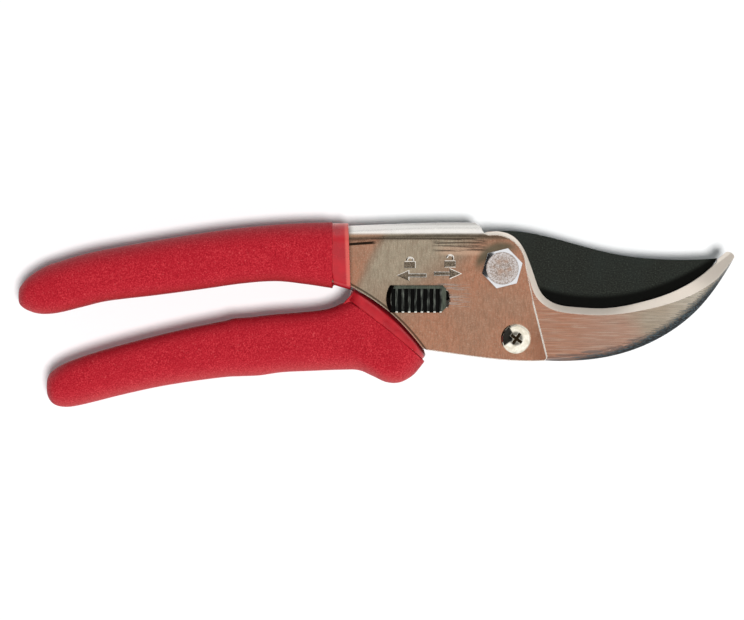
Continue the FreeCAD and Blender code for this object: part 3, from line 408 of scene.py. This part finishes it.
def hook_steel():
    """Ground steel: brush lines along the jaw, an inner bevel painted bright as a highlight, and
    an outer one painted dark as shade.
    """
    shader = Shader("hook_steel", Anisotropic=0.45)
    x, y = shader.axes()[:2]
    facing = shader.facing()
    brush = shader.noise(2100, 4.0, stretch=(0.05, 1.6, 1.6), rough=0.6)
    hairs = shader.noise(3600, 2.0, stretch=(0.045, 1.1, 1.1))
    uneven = shader.span(shader.noise(60, 2.0), 0.3, 0.7, -0.14, 0.14)
    flat = shader.ramp(
        shader.total(shader.span(x, 0.010, 0.060), uneven),
        (0.0, srgb(212, 154, 126)), (0.45, srgb(212, 168, 146)),
        (0.7, srgb(204, 186, 164)), (1.0, srgb(226, 216, 198)),
    )
    dimmed = shader.mix(1.0, flat, grey(0.66), "MULTIPLY")
    # The throat's bevel faces +X near the plate.
    throat = shader.product(facing[0], shader.span(x, 0.028, 0.020))
    # The inner bevel is painted bright as a highlight, and made less metallic so that it stays
    # bright.
    slope = shader.span(facing[2], 0.985, 0.95)
    inner = shader.product(slope, shader.span(shader.total(facing[1], throat), -0.03, 0.05))
    not_inner = shader.rest_of(inner)
    # Painted shade deepens below the outer bevel's border, and the brush lines tear its start.
    x_mm = shader.product(x, 1000.0)
    border = SHADE_BORDER[0]
    for term in SHADE_BORDER[1:]:
        border = shader.total(shader.product(border, x_mm), term)
    torn = shader.span(brush, 0.35, 0.65, -0.75, 0.75)
    depth = shader.total(border, shader.product(y, -1000.0), torn)
    bevel_shade = shader.total(
        shader.span(depth, -0.2, 0.1, 0.0, 0.66), shader.span(depth, 0.6, 1.5, 0.0, 0.34),
    )
    outer = shader.product(bevel_shade, not_inner)
    # Blue-grey painted reflection in the brush lines of the shaded bevel.
    bevel_shade_and_reflection = shader.mix(shader.span(brush, 0.46, 0.7), srgb(8, 11, 13), srgb(72, 87, 93))
    bumps = shader.span(inner, 0.0, 1.0, 0.25, 0.0)
    return shader.set(
        Base_Color=shader.layered(
            dimmed,
            (shader.span(brush, 0.36, 0.6), flat),
            (shader.span(hairs, 0.48, 0.72, 0.0, 0.28), srgb(244, 228, 208)),
            (inner, srgb(248, 236, 222)),
            (outer, bevel_shade_and_reflection),
        ),
        Metallic=shader.total(
            1.0,
            shader.product(shader.largest(inner, outer), -0.6),
            shader.product(inner, throat, -0.35),
        ),
        Roughness=shader.total(
            shader.product(shader.span(brush, 0.35, 0.65, 0.24, 0.38), not_inner),
            shader.product(inner, 0.28),
        ),
        Normal=shader.bump(brush, 0.00002, bumps, under=shader.rounded_edges(0.0002)),
    )


# The jaw's edge curves up from this lowest point of the plan, by this much per square metre.
JAW_LOW, JAW_CURVE = (0.027, -0.01125), 9.86


def blade_black():
    """Baked dry coating on the blade, with the hook's shadow painted dark beside the cutting edge.
    """
    shader = Shader("blade_black", Specular_IOR_Level=0.1)
    x, y = shader.axes()[:2]
    grain = shader.noise(3200, 4.0, stretch=(0.7, 1, 1), rough=0.7)
    cloud = shader.span(shader.noise(120, 2.0), 0.35, 0.7, 0.0, 0.3)
    # Painted shadow of the hook, in a band along the jaw's curved edge.
    across = shader.minus(x, JAW_LOW[0])
    curve = shader.product(across, across, JAW_CURVE)
    above = shader.minus(shader.total(y, -JAW_LOW[1]), curve)
    hook_shadow = shader.product(shader.span(above, 0.0044, 0.0026), shader.span(x, 0.007, 0.012))
    coating = shader.ramp(
        grain, (0.35, srgb(24, 26, 23)), (0.55, srgb(42, 44, 40)), (0.75, srgb(72, 78, 70)),
    )
    return shader.set(
        Base_Color=shader.layered(
            coating, (cloud, srgb(44, 50, 47)), (shader.product(hook_shadow, 0.94), srgb(3, 3, 2)),
        ),
        Roughness=shader.span(grain, 0.3, 0.7, 0.46, 0.6),
        Normal=shader.bump(grain, 0.00004, 0.5, under=shader.rounded_edges(0.00025)),
    )


# Radians per metre of the rings that turning left on the bolt.
TURNING = 5200.0


def bolt_steel():
    """Bright zinc on the fasteners: clean chamfers, and a top mottled in rings."""
    shader = Shader("bolt_steel", Metallic=1.0)
    mottle = shader.noise(4200, 3.0, rough=0.6)
    cloud = shader.span(shader.noise(700, 2.0), 0.4, 0.7, 0.0, 0.5)
    from_axis = shader.away_from(*BOLT_AXIS)
    turned = shader.product(from_axis, TURNING)
    rings = shader.add("ShaderNodeMath", {0: turned}, operation="SINE").outputs[0]
    outwards = shader.span(from_axis, 0.0022, 0.0038, -0.035, 0.035)
    rubbed = shader.total(mottle, shader.product(rings, 0.03), outwards)
    colour = shader.ramp(
        rubbed,
        (0.38, srgb(152, 136, 124)), (0.5, srgb(202, 188, 180)), (0.62, srgb(232, 226, 224)),
    )
    warm = shader.product(cloud, shader.span(from_axis, 0.0036, 0.002))
    struck = shader.mix(warm, colour, srgb(196, 156, 130))
    top = shader.span(shader.facing()[2], 0.93, 0.98)
    return shader.set(
        Base_Color=shader.mix(top, srgb(210, 210, 212), struck),
        Roughness=shader.span(rubbed, 0.3, 0.7, 0.14, 0.22),
        Normal=shader.bump(mottle, 0.000012, 0.3, under=shader.rounded_edges(0.00025)),
    )


def screw_steel():
    """Polished nickel on the domed screw, dark brown in its cross recess."""
    shader = Shader("screw_steel", Metallic=1.0)
    z = shader.axes()[2]
    cloud = shader.noise(700, 2.0)
    colour = shader.ramp(cloud, (0.35, srgb(214, 206, 188)), (0.65, srgb(240, 234, 220)))
    # The recess is what lies inside the dome, below its crown.
    inside = shader.span(shader.away_from(*SCREW_AXIS), 0.00215, 0.00205)
    sunk = shader.span(z, PLATE_FRONT + 2.05 * MM, PLATE_FRONT + 1.85 * MM)
    return shader.set(
        Base_Color=shader.mix(shader.product(inside, sunk), colour, srgb(44, 34, 20)),
        Roughness=shader.span(cloud, 0.3, 0.7, 0.07, 0.13),
        Normal=shader.rounded_edges(0.00015),
    )


def lock_black():
    """Moulded black plastic, with painted grey-green sheen on its border and the tops of its ribs.
    """
    shader = Shader("lock_black", Specular_IOR_Level=0.1)
    x, y, z = shader.axes()
    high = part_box("lock_button")[1]
    sheen_mottle = shader.noise(1700, 3.0, stretch=(1.6, 0.22, 1))
    # Below the ribs' tops everything is painted near-black as shade; the tops get a painted sheen.
    crown = shader.span(z, high.z - 0.45 * MM, high.z - 0.3 * MM)
    upper_side = shader.span(y, high.y - 1.05 * MM, high.y - 0.85 * MM)
    right_end = shader.span(x, high.x - 1.35 * MM, high.x - 1.15 * MM)
    ribbed = shader.span(x, high.x - 15.6 * MM, high.x - 15.2 * MM)
    border = shader.product(shader.largest(upper_side, right_end), ribbed)
    # Painted highlight at the ribs' lower ends.
    tip = shader.span(
        y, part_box("lock_button")[0].y + 0.4 * MM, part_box("lock_button")[0].y + 0.2 * MM,
    )
    rib_sheen = shader.ramp(
        sheen_mottle, (0.4, srgb(26, 27, 25)), (0.52, srgb(58, 60, 56)), (0.66, srgb(98, 102, 94)),
    )
    edge = shader.ramp(sheen_mottle, (0.3, srgb(60, 65, 57)), (0.7, srgb(90, 95, 84)))
    top = shader.layered(rib_sheen, (tip, srgb(236, 236, 226)), (border, edge))
    return shader.set(
        Base_Color=shader.mix(crown, srgb(3, 3, 2), top),
        Roughness=shader.span(sheen_mottle, 0.35, 0.7, 0.3, 0.5),
        Normal=shader.bump(sheen_mottle, 0.00003, 0.4, under=shader.rounded_edges(0.00015)),
    )


def mottled_metal(name, scale, detail, dark, pale, rough, bump, edge=None):
    """Metal mottled between two stops of a ramp; rough holds its two roughnesses, bump the
    depth and strength of its relief, and edge the radius that its edges seem rounded to."""
    shader = Shader(name, Metallic=1.0)
    mottle = shader.noise(scale, detail)
    under = shader.rounded_edges(edge) if edge else None
    return shader.set(
        Base_Color=shader.ramp(mottle, dark, pale),
        Roughness=shader.span(mottle, 0.3, 0.7, *rough),
        Normal=shader.bump(mottle, *bump, under=under),
    )


materials = {
    make.__name__: make()
    for make in (
        red_vinyl, smooth_vinyl, plate_steel, hook_steel, blade_black, bolt_steel, screw_steel,
        lock_black,
    )
}
for name, *look in (
    # Dull plating on the small inner pieces.
    ("inner_steel", 520, 3.0, (0.3, srgb(150, 148, 140)), (0.7, srgb(188, 186, 176)),
     (0.34, 0.5), (0.00004, 0.3), 0.0002),
    # Oiled dark wire with draw marks.
    ("spring_steel", 1800, 2.0, (0.35, srgb(92, 92, 96)), (0.65, srgb(140, 140, 142)),
     (0.26, 0.4), (0.00003, 0.3)),
    # Sloping edges of the marks stamped into the plate, painted bright as a highlight.
    ("stamped_edge", 2400, 3.0, (0.3, srgb(216, 208, 196)), (0.7, srgb(252, 248, 242)),
     (0.2, 0.34), (0.00003, 0.4)),
    # Dull rough metal on the flats of those marks, painted dark as shade.
    ("stamped_floor", 3000, 3.0, (0.4, srgb(96, 84, 70)), (0.6, srgb(168, 152, 132)),
     (0.3, 0.45), (0.00005, 0.5)),
):
    materials[name] = mottled_metal(name, *look)


def dress(material, *names):
    for name in names:
        for slot in nodes[name].material_slots:
            slot.material = materials[material]


# ---------------------------------------------------------------- grip meshes
# The grips' rows are cross sections, in millimetres of the plan. Those of skin and collar
# run from the grip's end to its mouth, and those of the bore run back in from there.

# Steps of the smooth curve between two rows.
SKIN_STEPS, COLLAR_STEPS, BORE_STEPS = 8, 4, 6
# Last rings of the skin and the collar: a way forward and an inset all round.
SKIN_ROUND, SKIN_STEP, COLLAR_ROUND = (0.12, 0.12), (0.2, 0.5), (0.12, 0.15)
# Largest share of a cross section's half size that the radius of its corners may take.
ROUNDEST = 0.94
# Angle between two faces, in degrees, from which the edge that they share looks sharp.
GRIP_SHARP, WIRE_SHARP, RELIEF_SHARP = 38, 50, 25


def smooth_rows(rows, steps):
    """Rows of numbers joined by a smooth curve, with even steps between them."""
    table = np.array(rows, float)
    ends = [2 * table[0] - table[1], *table, 2 * table[-1] - table[-2]]
    result = []
    for before, start, end, after in zip(ends, ends[1:], ends[2:], ends[3:]):
        for share in np.arange(steps) / steps:
            result.append(0.5 * (
                2 * start + (end - before) * share
                + (2 * before - 5 * start + 4 * end - after) * share ** 2
                + (3 * start - before - 3 * end + after) * share ** 3
            ))
    return result + [table[-1]]


def ring(row, high_round, low_round, crown=0.05):
    """Rounded oblong cross section, in metres, between two points of the plan.
    The row holds the two points, the half thickness and how far the middle bows ahead;
    the crown is the share of the thickness that is lost at either point."""
    high, low = Vector((row[0], row[1], 0)), Vector((row[2], row[3], 0))
    half, bow = row[4:6]
    across = (low - high) / 2
    tall = across.length
    across.normalize()
    ahead = Vector((-across.y, across.x, 0)) * bow
    middle = (high + low) / 2
    limit = ROUNDEST * min(tall, half)
    high_round, low_round = min(high_round, limit), min(low_round, limit)
    turn = [math.radians(angle) for angle in range(0, 91, 10)]
    # Half of the section as pairs: the way along its height, then its thickness there.
    start = [
        (-tall + high_round * (1 - math.cos(a)), half - high_round * (1 - math.sin(a)))
        for a in turn
    ]
    end = [
        (tall - low_round * (1 - math.sin(a)), half - low_round * (1 - math.cos(a)))
        for a in turn
    ]
    start[0], end[-1] = (-tall, half - high_round), (tall, half - low_round)
    first, last = start[-1][0], end[0][0]
    flat = [(first + (last - first) * share, half) for share in (0.2, 0.4, 0.6, 0.8)]
    side = start + flat + end
    back = [(s, -z) for s, z in reversed(side)]
    points = []
    for s, z in side + back:
        from_middle = (s / tall) ** 2
        lift = z * (1 - crown * from_middle)
        place = middle + across * s + ahead * (1 - from_middle)
        points.append((place.x * MM, place.y * MM, MIDDLE + lift * MM))
    return points


def join_loops(mesh, one, two):
    """Faces between two loops of as many points."""
    pairs = list(zip(one, two))
    return [
        mesh.faces.new((a, next_a, next_b, b))
        for (a, b), (next_a, next_b) in zip(pairs, pairs[1:] + pairs[:1])
    ]


def tube(name, rings, sharp_angle, material_of=lambda index: 0):
    """Closed skin through a row of rings, capped at both ends."""
    mesh = bmesh.new()
    loops = [[mesh.verts.new(point) for point in points] for points in rings]
    for index, (one, two) in enumerate(zip(loops, loops[1:])):
        for face in join_loops(mesh, one, two):
            face.material_index = material_of(index)
    for loop, index in ((loops[0][::-1], 0), (loops[-1], len(loops) - 2)):
        centre = mesh.verts.new(sum((vert.co for vert in loop), Vector()) / len(loop))
        for vert, following in zip(loop, loop[1:] + loop[:1]):
            face = mesh.faces.new((vert, following, centre))
            face.material_index = material_of(index)
    return finish_mesh(name, mesh, sharp_angle)


def finish_mesh(name, mesh, sharp_angle):
    bmesh.ops.recalc_face_normals(mesh, faces=mesh.faces)
    data = bpy.data.meshes.new(name)
    mesh.to_mesh(data)
    mesh.free()
    data.shade_smooth()
    data.set_sharp_from_angle(angle=math.radians(sharp_angle))
    return add_object(name, data)


def add_object(name, data):
    piece = bpy.data.objects.new(name, data)
    bpy.context.scene.collection.objects.link(piece)
    return piece


def coat(piece, *names):
    """Give a new piece its materials, in order."""
    for name in names:
        piece.data.materials.append(materials[name])


def grip(name, skin, collar, bore):
    """Vinyl grip: skin, stepped collar, and the bore that the steel fills. Each is its rows
    and the radii of its upper and lower corners."""
    skin_rows, skin_rounds = skin
    collar_rows, collar_rounds = collar
    bore_rows, bore_rounds = bore
    rings = [ring(row, *skin_rounds) for row in smooth_rows(skin_rows, SKIN_STEPS)]
    rings += [ring(shrunk(skin_rows[-1], *by), *skin_rounds) for by in (SKIN_ROUND, SKIN_STEP)]
    skin_count = len(rings) - 1
    rings += [ring(row, *collar_rounds) for row in smooth_rows(collar_rows, COLLAR_STEPS)]
    rings.append(ring(shrunk(collar_rows[-1], *COLLAR_ROUND), *collar_rounds))
    rings += [ring(row, *bore_rounds, crown=0.0) for row in smooth_rows(bore_rows, BORE_STEPS)]
    piece = tube(name, rings, GRIP_SHARP, lambda index: 0 if index < skin_count else 1)
    coat(piece, "red_vinyl", "smooth_vinyl")
    return piece


def shrunk(row, forward, inset):
    """The same cross section a little further along, and smaller all round."""
    high, low = Vector(row[0:2]), Vector(row[2:4])
    down = (low - high).normalized()
    ahead = Vector((-down.y, down.x)) * forward
    high, low = high + down * inset + ahead, low - down * inset + ahead
    return (*high, *low, row[4] - inset, row[5])


def level_rows(rows, half):
    """Rows for a ring from rows of x, the upper edge's y, the lower edge's y and the share
    of the half thickness."""
    return [(x, high, x, low, half * share, 0.0) for x, high, low, share in rows]


# Upper grip: x, the upper edge's y, the lower edge's y, share of the half thickness.
UPPER_SKIN = [
    (-137.1, -6.9, -8.9, 0.12),
    (-136.8, -5.6, -9.9, 0.36),
    (-135.9, -4.3, -10.9, 0.58),
    (-134.4, -2.6, -11.8, 0.75),
    (-132.0, -0.8, -12.6, 0.86),
    (-129.0, 0.9, -12.85, 0.92),
    (-125.0, 2.2, -12.3, 0.96),
    (-119.0, 4.0, -10.8, 0.98),
    (-111.7, 5.6, -9.1, 1.0),
    (-98.2, 8.0, -7.5, 1.0),
    (-84.6, 10.2, -5.7, 1.0),
    (-74.0, 11.6, -4.2, 1.0),
    (-64.3, 12.5, -3.5, 1.0),
    (-56.0, 13.0, -4.3, 1.0),
    (-48.0, 13.19, -5.5, 1.0),
]
# Lower grip: x and y of the upper point, x and y of the lower one, half thickness, bow.
LOWER_SKIN = [
    (-129.1, -32.6, -129.1, -34.4, 1.0, 0.0),
    (-128.8, -31.0, -128.8, -36.0, 2.9, 0.0),
    (-128.1, -29.7, -128.1, -37.4, 4.4, 0.0),
    (-126.8, -28.5, -126.8, -38.6, 5.6, 0.0),
    (-124.6, -27.2, -124.6, -39.2, 6.4, 0.0),
    (-121.5, -25.9, -121.5, -39.1, 6.9, 0.0),
    (-116.0, -24.0, -116.0, -37.9, 7.2, 0.0),
    (-108.5, -21.8, -108.5, -36.0, 7.4, 0.0),
    (-98.2, -19.1, -98.2, -33.7, 7.4, 0.0),
    (-88.0, -16.7, -88.0, -32.0, 7.4, 0.0),
    (-78.6, -14.8, -78.6, -30.8, 7.4, 0.0),
    (-75.8, -14.1, -74.0, -30.55, 7.4, 0.0),
    (-71.0, -13.7, -68.6, -30.3, 7.4, 0.0),
    (-64.0, -12.9, -62.0, -29.4, 7.4, 0.0),
    (-57.5, -12.4, -53.5, -29.0, 7.4, 0.0),
    (-51.5, -11.8, -45.5, -28.7, 7.4, 0.0),
    (-48.5, -11.2, -40.5, -28.8, 7.4, 0.0),
    (-46.6, -10.5, -36.4, -30.5, 7.4, 0.0),
    (-45.4, -9.9, -32.6, -32.2, 7.4, 0.0),
    (-44.7, -9.6, -28.8, -32.3, 7.4, 0.0),
    (-44.2, -9.4, -25.2, -30.4, 7.4, 0.0),
    (-43.8, -9.2, -23.0, -28.0, 7.35, 0.35),
    (-43.5, -9.1, -21.8, -26.4, 7.3, 0.5),
]


def upper_grip():
    skin = level_rows(UPPER_SKIN, 7.85)
    collar = [
        (-47.9, 12.9, -47.4, -4.6, 7.35, 0.0),
        (-45.6, 12.95, -45.1, -5.3, 7.35, 0.0),
        (-43.45, 12.95, -42.8, -5.95, 7.35, 0.0),
    ]
    bore = level_rows([
        (-43.45, 12.25, -4.6, 1.0), (-50.0, 12.05, -3.0, 1.0), (-64.3, 11.45, -1.2, 1.0),
        (-84.6, 9.1, -3.4, 1.0), (-111.7, 4.5, -6.9, 1.0), (-124.0, 1.4, -9.6, 1.0),
    ], 6.63)
    piece = grip(
        "upper_grip_vinyl",
        skin=(skin, (6.3, 4.6)), collar=(collar, (5.9, 1.6)), bore=(bore, (5.25, 0.4)),
    )
    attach(piece, "upper")
    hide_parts("upper_grip")


def lower_grip():
    # The collar's end runs beside the bowed slant of the plates; a lip goes on between them.
    collar = [
        (-43.6, -8.6, -22.3, -25.6, 6.9, 0.6),
        (-43.0, -7.6, -21.8, -25.0, 6.7, 0.8),
        (-42.7, -6.6, -21.5, -24.4, 6.4, 1.05),
        (-42.8, -5.9, -21.7, -23.7, 6.1, 1.2),
    ]
    bore = [
        (-42.0, -5.6, -22.0, -22.8, 4.8, 1.5),
        (-42.6, -7.4, -22.7, -22.8, 4.55, 0.6),
        (-50.0, -13.6, -34.0, -26.0, 4.55, 0.0),
        (-64.0, -15.0, -62.0, -27.9, 4.55, 0.0),
        (-98.2, -21.2, -98.2, -32.1, 4.55, 0.0),
        (-116.0, -26.1, -116.0, -36.3, 4.55, 0.0),
    ]
    piece = grip(
        "lower_grip_vinyl",
        skin=(LOWER_SKIN, (4.6, 6.3)), collar=(collar, (4.2, 4.2)), bore=(bore, (0.4, 3.85)),
    )
    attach(piece, "lower")
    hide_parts("lower_grip")


# --------------------------------------------------------------- return spring
# In millimetres: the radii of the wire and of the coil's middle line, and the rise over a
# full turn.
WIRE_RADIUS, COIL_RADIUS, PITCH = 0.6, 3.4, 1.25
WHOLE_TURNS = 1
LOWER_LEG_STEPS, COIL_STEPS, UPPER_LEG_STEPS, WIRE_SIDES = 10, 72, 30, 14


def touching_point(centre, far, turn):
    """Where a straight line from a far point touches the coil."""
    away = far - centre
    angle = math.atan2(away.y, away.x) - turn * math.acos(COIL_RADIUS / away.length)
    return centre + Vector((COIL_RADIUS * math.cos(angle), COIL_RADIUS * math.sin(angle)))


def spring():
    """Wire wound 1.3 times round the stud; its upper leg stays in the fold as the handles open."""
    low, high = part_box("spring_stud")
    centre = Vector((low.x + high.x, low.y + high.y)) / 2 / MM
    upper_end, lower_end = Vector((-36.0, 8.6)), Vector((-22.5, -15.5))
    start = touching_point(centre, lower_end, -1)
    finish = touching_point(centre, upper_end, 1)
    from_angle, to_angle = (math.atan2(p.y - centre.y, p.x - centre.x) for p in (start, finish))
    sweep = math.tau * WHOLE_TURNS + (to_angle - from_angle) % math.tau
    rise = PITCH * sweep / math.tau
    route = []
    for share in np.arange(LOWER_LEG_STEPS) / LOWER_LEG_STEPS:
        route.append((*lower_end.lerp(start, share), 0.0))
    for share in np.linspace(0, 1, COIL_STEPS + 1)[:-1]:
        angle = from_angle + sweep * share
        place = centre + COIL_RADIUS * Vector((math.cos(angle), math.sin(angle)))
        route.append((*place, rise * share))
    for share in np.linspace(0, 1, UPPER_LEG_STEPS + 1):
        route.append((*finish.lerp(upper_end, share), rise))
    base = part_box("return_spring")[0].z / MM + WIRE_RADIUS
    places = [Vector((x, y, base + z)) for x, y, z in route]
    turn = [math.tau * step / WIRE_SIDES for step in range(WIRE_SIDES)]
    rings = []
    for before, place, after in zip(places[:1] + places, places, places[1:] + places[-1:]):
        ahead = (after - before).normalized()
        side = ahead.cross(Vector((0, 0, 1))).normalized()
        up = side.cross(ahead)
        outwards = [side * math.cos(a) + up * math.sin(a) for a in turn]
        rings.append([(place + WIRE_RADIUS * way) * MM for way in outwards])
    piece = tube("spring_wire", rings, WIRE_SHARP)
    coat(piece, "spring_steel")
    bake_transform(piece)
    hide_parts("return_spring")


# --------------------------------------------------------------- stamped marks
# Outlines are in millimetres of the plan and run anticlockwise.

# How high a mark stands on the plate, and how deep its foot is sunk in it.
RELIEF, FOOT = 0.1, 0.01


def raised(name, outlines, slope):
    """Low relief on the front plate: each outline slopes up to a smaller flat top."""
    mesh = bmesh.new()
    for outline in outlines:
        corners = [Vector(point) for point in outline]
        centre = sum(corners, Vector((0, 0))) / len(corners)
        foot = [mesh.verts.new((x * MM, y * MM, PLATE_FRONT - FOOT * MM)) for x, y in outline]
        top = []
        for before, here, after in zip(corners[-1:] + corners, corners, corners[1:] + corners[:1]):
            place = here + inwards(before, here, after, centre) * slope
            top.append(mesh.verts.new((place.x * MM, place.y * MM, PLATE_FRONT + RELIEF * MM)))
        join_loops(mesh, foot, top)
        mesh.faces.new(top).material_index = 1
        mesh.faces.new(foot[::-1])
    piece = finish_mesh(name, mesh, RELIEF_SHARP)
    coat(piece, "stamped_edge", "stamped_floor")
    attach(piece, "upper")


def inwards(before, here, after, centre):
    """Direction into an outline from one of its corners."""
    way = (before - here).normalized() + (after - here).normalized()
    if way.length < 0.05:  # almost straight on, so the corner has no clear middle
        way = centre - here
    way.normalize()
    one, two = here - before, after - here
    is_hollow = one.x * two.y - one.y * two.x < 0
    return -way if is_hollow else way


def arrow(tip, tail, y, way):
    """Arrow outline along X, pointing to its tip; way is 1 toward +X and -1 toward -X."""
    head_length, head_half, shaft_half = 3.6, 1.6, 0.6
    neck = tip - way * head_length
    points = [
        (tip, y), (neck, y + head_half), (neck, y + shaft_half), (tail, y + shaft_half),
        (tail, y - shaft_half), (neck, y - shaft_half), (neck, y - head_half),
    ]
    return points if way > 0 else points[::-1]


def arch(x, y, wide, tall):
    """Upper half of an oval, from right to left."""
    turn = [math.radians(angle) for angle in range(0, 181, 20)]
    return [(x + wide * math.cos(a), y + tall * math.sin(a)) for a in turn]


def padlock(x, y, is_open):
    """Padlock sign: a body, and a shackle that is shut or swung open."""
    half, bottom, top = 1.6, y - 1.5, y + 0.45
    body = [(x - half, bottom), (x + half, bottom), (x + half, top), (x - half, top)]
    outer, inner = 1.15, 0.55
    lift, left_foot = (0.5, top + 0.7) if is_open else (0.0, top)
    arch_y = top + 0.35 + lift
    shackle = [
        (x + outer, top), *arch(x, arch_y, outer, 0.95), (x - outer, left_foot),
        (x - inner, left_foot), *reversed(arch(x, arch_y, inner, 0.45)), (x + inner, top),
    ]
    return [body, shackle]


# -------------------------------------------------------------- floor and light


def floor():
    """Pale seamless table top that keeps the shadow."""
    reach = 3.0
    low = cad_box[0].z
    corners = (-reach, -reach), (reach, -reach), (reach, reach), (-reach, reach)
    data = bpy.data.meshes.new("floor")
    data.from_pydata([(x, y, low) for x, y in corners], [], [(0, 1, 2, 3)])
    piece = add_object("floor", data)
    shader = Shader("floor_paper", Roughness=1.0, Specular_IOR_Level=0.0)
    shader.surface.inputs["Base Color"].default_value = grey(0.93)
    # A faint bluish glow that only the camera and the metal see.
    shader.surface.inputs["Emission Color"].default_value = (0.65, 0.9, 1.0, 1.0)
    path = shader.add("ShaderNodeLightPath").outputs
    seen = shader.largest(path["Is Camera Ray"], path["Is Glossy Ray"])
    piece.data.materials.append(shader.set(Emission_Strength=shader.product(seen, 0.05)))


# Directions of the plan: toward the dark wall, and toward the front, where the fill is.
LEFT, FRONT = (-0.97, 0.26), (0.35, -0.8)
# Share of a level direction's length from which it counts as leftwards.
DARK_WALL_EDGE = 0.6


def world():
    """White for the camera and a studio for the metal: a softbox overhead, a dim ring round
    it, bright walls low down and a dark one on the left. The fill is stronger from the front."""
    made = bpy.data.worlds.new("studio")
    bpy.context.scene.world = made
    made.use_nodes = True
    made.node_tree.nodes.clear()
    tree = Nodes(made.node_tree)
    path = tree.add("ShaderNodeLightPath").outputs
    x, y, z = tree.parts(tree.add("ShaderNodeTexCoord").outputs["Generated"])
    level = tree.math("POWER", tree.largest(tree.rest_of(tree.product(z, z)), 0.0), 0.5)
    leftwards, frontwards = (
        tree.total(tree.product(x, across), tree.product(y, up)) for across, up in (LEFT, FRONT)
    )
    past_edge = tree.total(leftwards, tree.product(level, -DARK_WALL_EDGE))
    dark_wall = tree.span(past_edge, 0.04, 0.11, 1.0, 0.03)
    behind = tree.product(tree.span(y, 0.5, 0.8), tree.span(z, 0.25, -0.05), -0.65)
    walls = tree.product(tree.span(z, 0.84, 0.62), tree.total(1.0, behind))
    softbox = tree.span(z, 0.9, 0.985, 0.0, 0.78)
    around = tree.total(tree.product(walls, 1.25), 0.3)
    studio = tree.total(softbox, tree.product(dark_wall, around))
    from_front = tree.product(tree.span(frontwards, 0.1, 0.9), tree.span(z, 0.7, 0.2), 0.9)
    fill = tree.total(0.17, from_front)
    is_metal = path["Is Glossy Ray"]
    lit = tree.total(tree.product(studio, is_metal), tree.product(fill, tree.rest_of(is_metal)))
    seen = tree.largest(path["Is Camera Ray"], path["Is Transmission Ray"])
    strength = tree.largest(lit, seen)
    background = tree.add("ShaderNodeBackground", {"Strength": strength}).outputs[0]
    tree.add("ShaderNodeOutputWorld", {"Surface": background})


def lamp(name, zenith, azimuth, strength, spread):
    """Distant lamp; zenith is its angle from straight above, azimuth is measured from +X."""
    data = bpy.data.lights.new(name, "SUN")
    data.energy = strength
    data.angle = math.radians(spread)
    piece = add_object(name, data)
    z, a = math.radians(zenith), math.radians(azimuth)
    towards = Vector((math.sin(z) * math.cos(a), math.sin(z) * math.sin(a), math.cos(z)))
    piece.rotation_mode = "QUATERNION"
    piece.rotation_quaternion = towards.to_track_quat("Z", "Y")
    piece.visible_glossy = False


# What the picture shows at the front plate's height, in metres: its middle and its width.
VIEW_MIDDLE, VIEW_WIDTH = (-0.03664, -0.01172), 0.21003


def camera():
    """Straight down, at the height that frames the closed shears."""
    data = bpy.data.cameras.new("camera")
    data.lens = 150
    data.sensor_width = 36
    data.clip_end = 20
    piece = add_object("camera", data)
    piece.location = (*VIEW_MIDDLE, PLATE_FRONT + VIEW_WIDTH * data.lens / data.sensor_width)
    bpy.context.scene.camera = piece


# -------------------------------------------------------------------- the scene

dress("plate_steel", "upper_handle", "lower_handle")
dress("hook_steel", "hook")
dress("blade_black", "blade")
dress("bolt_steel", "pivot_bolt", "pivot_nut", "pivot_washer", "hook_nut")
dress("screw_steel", "hook_screw")
dress("inner_steel", "hook_spacer", "pivot_bushing", "pivot_shim", "blade_rivets")
dress("inner_steel", "spring_stud", "lock_catch", "lock_screw")
dress("spring_steel", "lock_leaf")
dress("lock_black", "lock_button")

upper_grip()
lower_grip()
spring()
raised("arrow_left", [arrow(tip=-29.7, tail=-21.2, y=-1.95, way=-1)], slope=0.36)
raised("arrow_right", [arrow(tip=-11.2, tail=-19.2, y=-1.45, way=1)], slope=0.36)
raised("padlock_shut", padlock(x=-25.9, y=1.6, is_open=False), slope=0.22)
raised("padlock_open", padlock(x=-14.6, y=1.8, is_open=True), slope=0.22)

floor()
world()
lamp("key", zenith=11, azimuth=-50, strength=2.95, spread=12)
camera()
bpy.context.scene.view_settings.view_transform = "Standard"
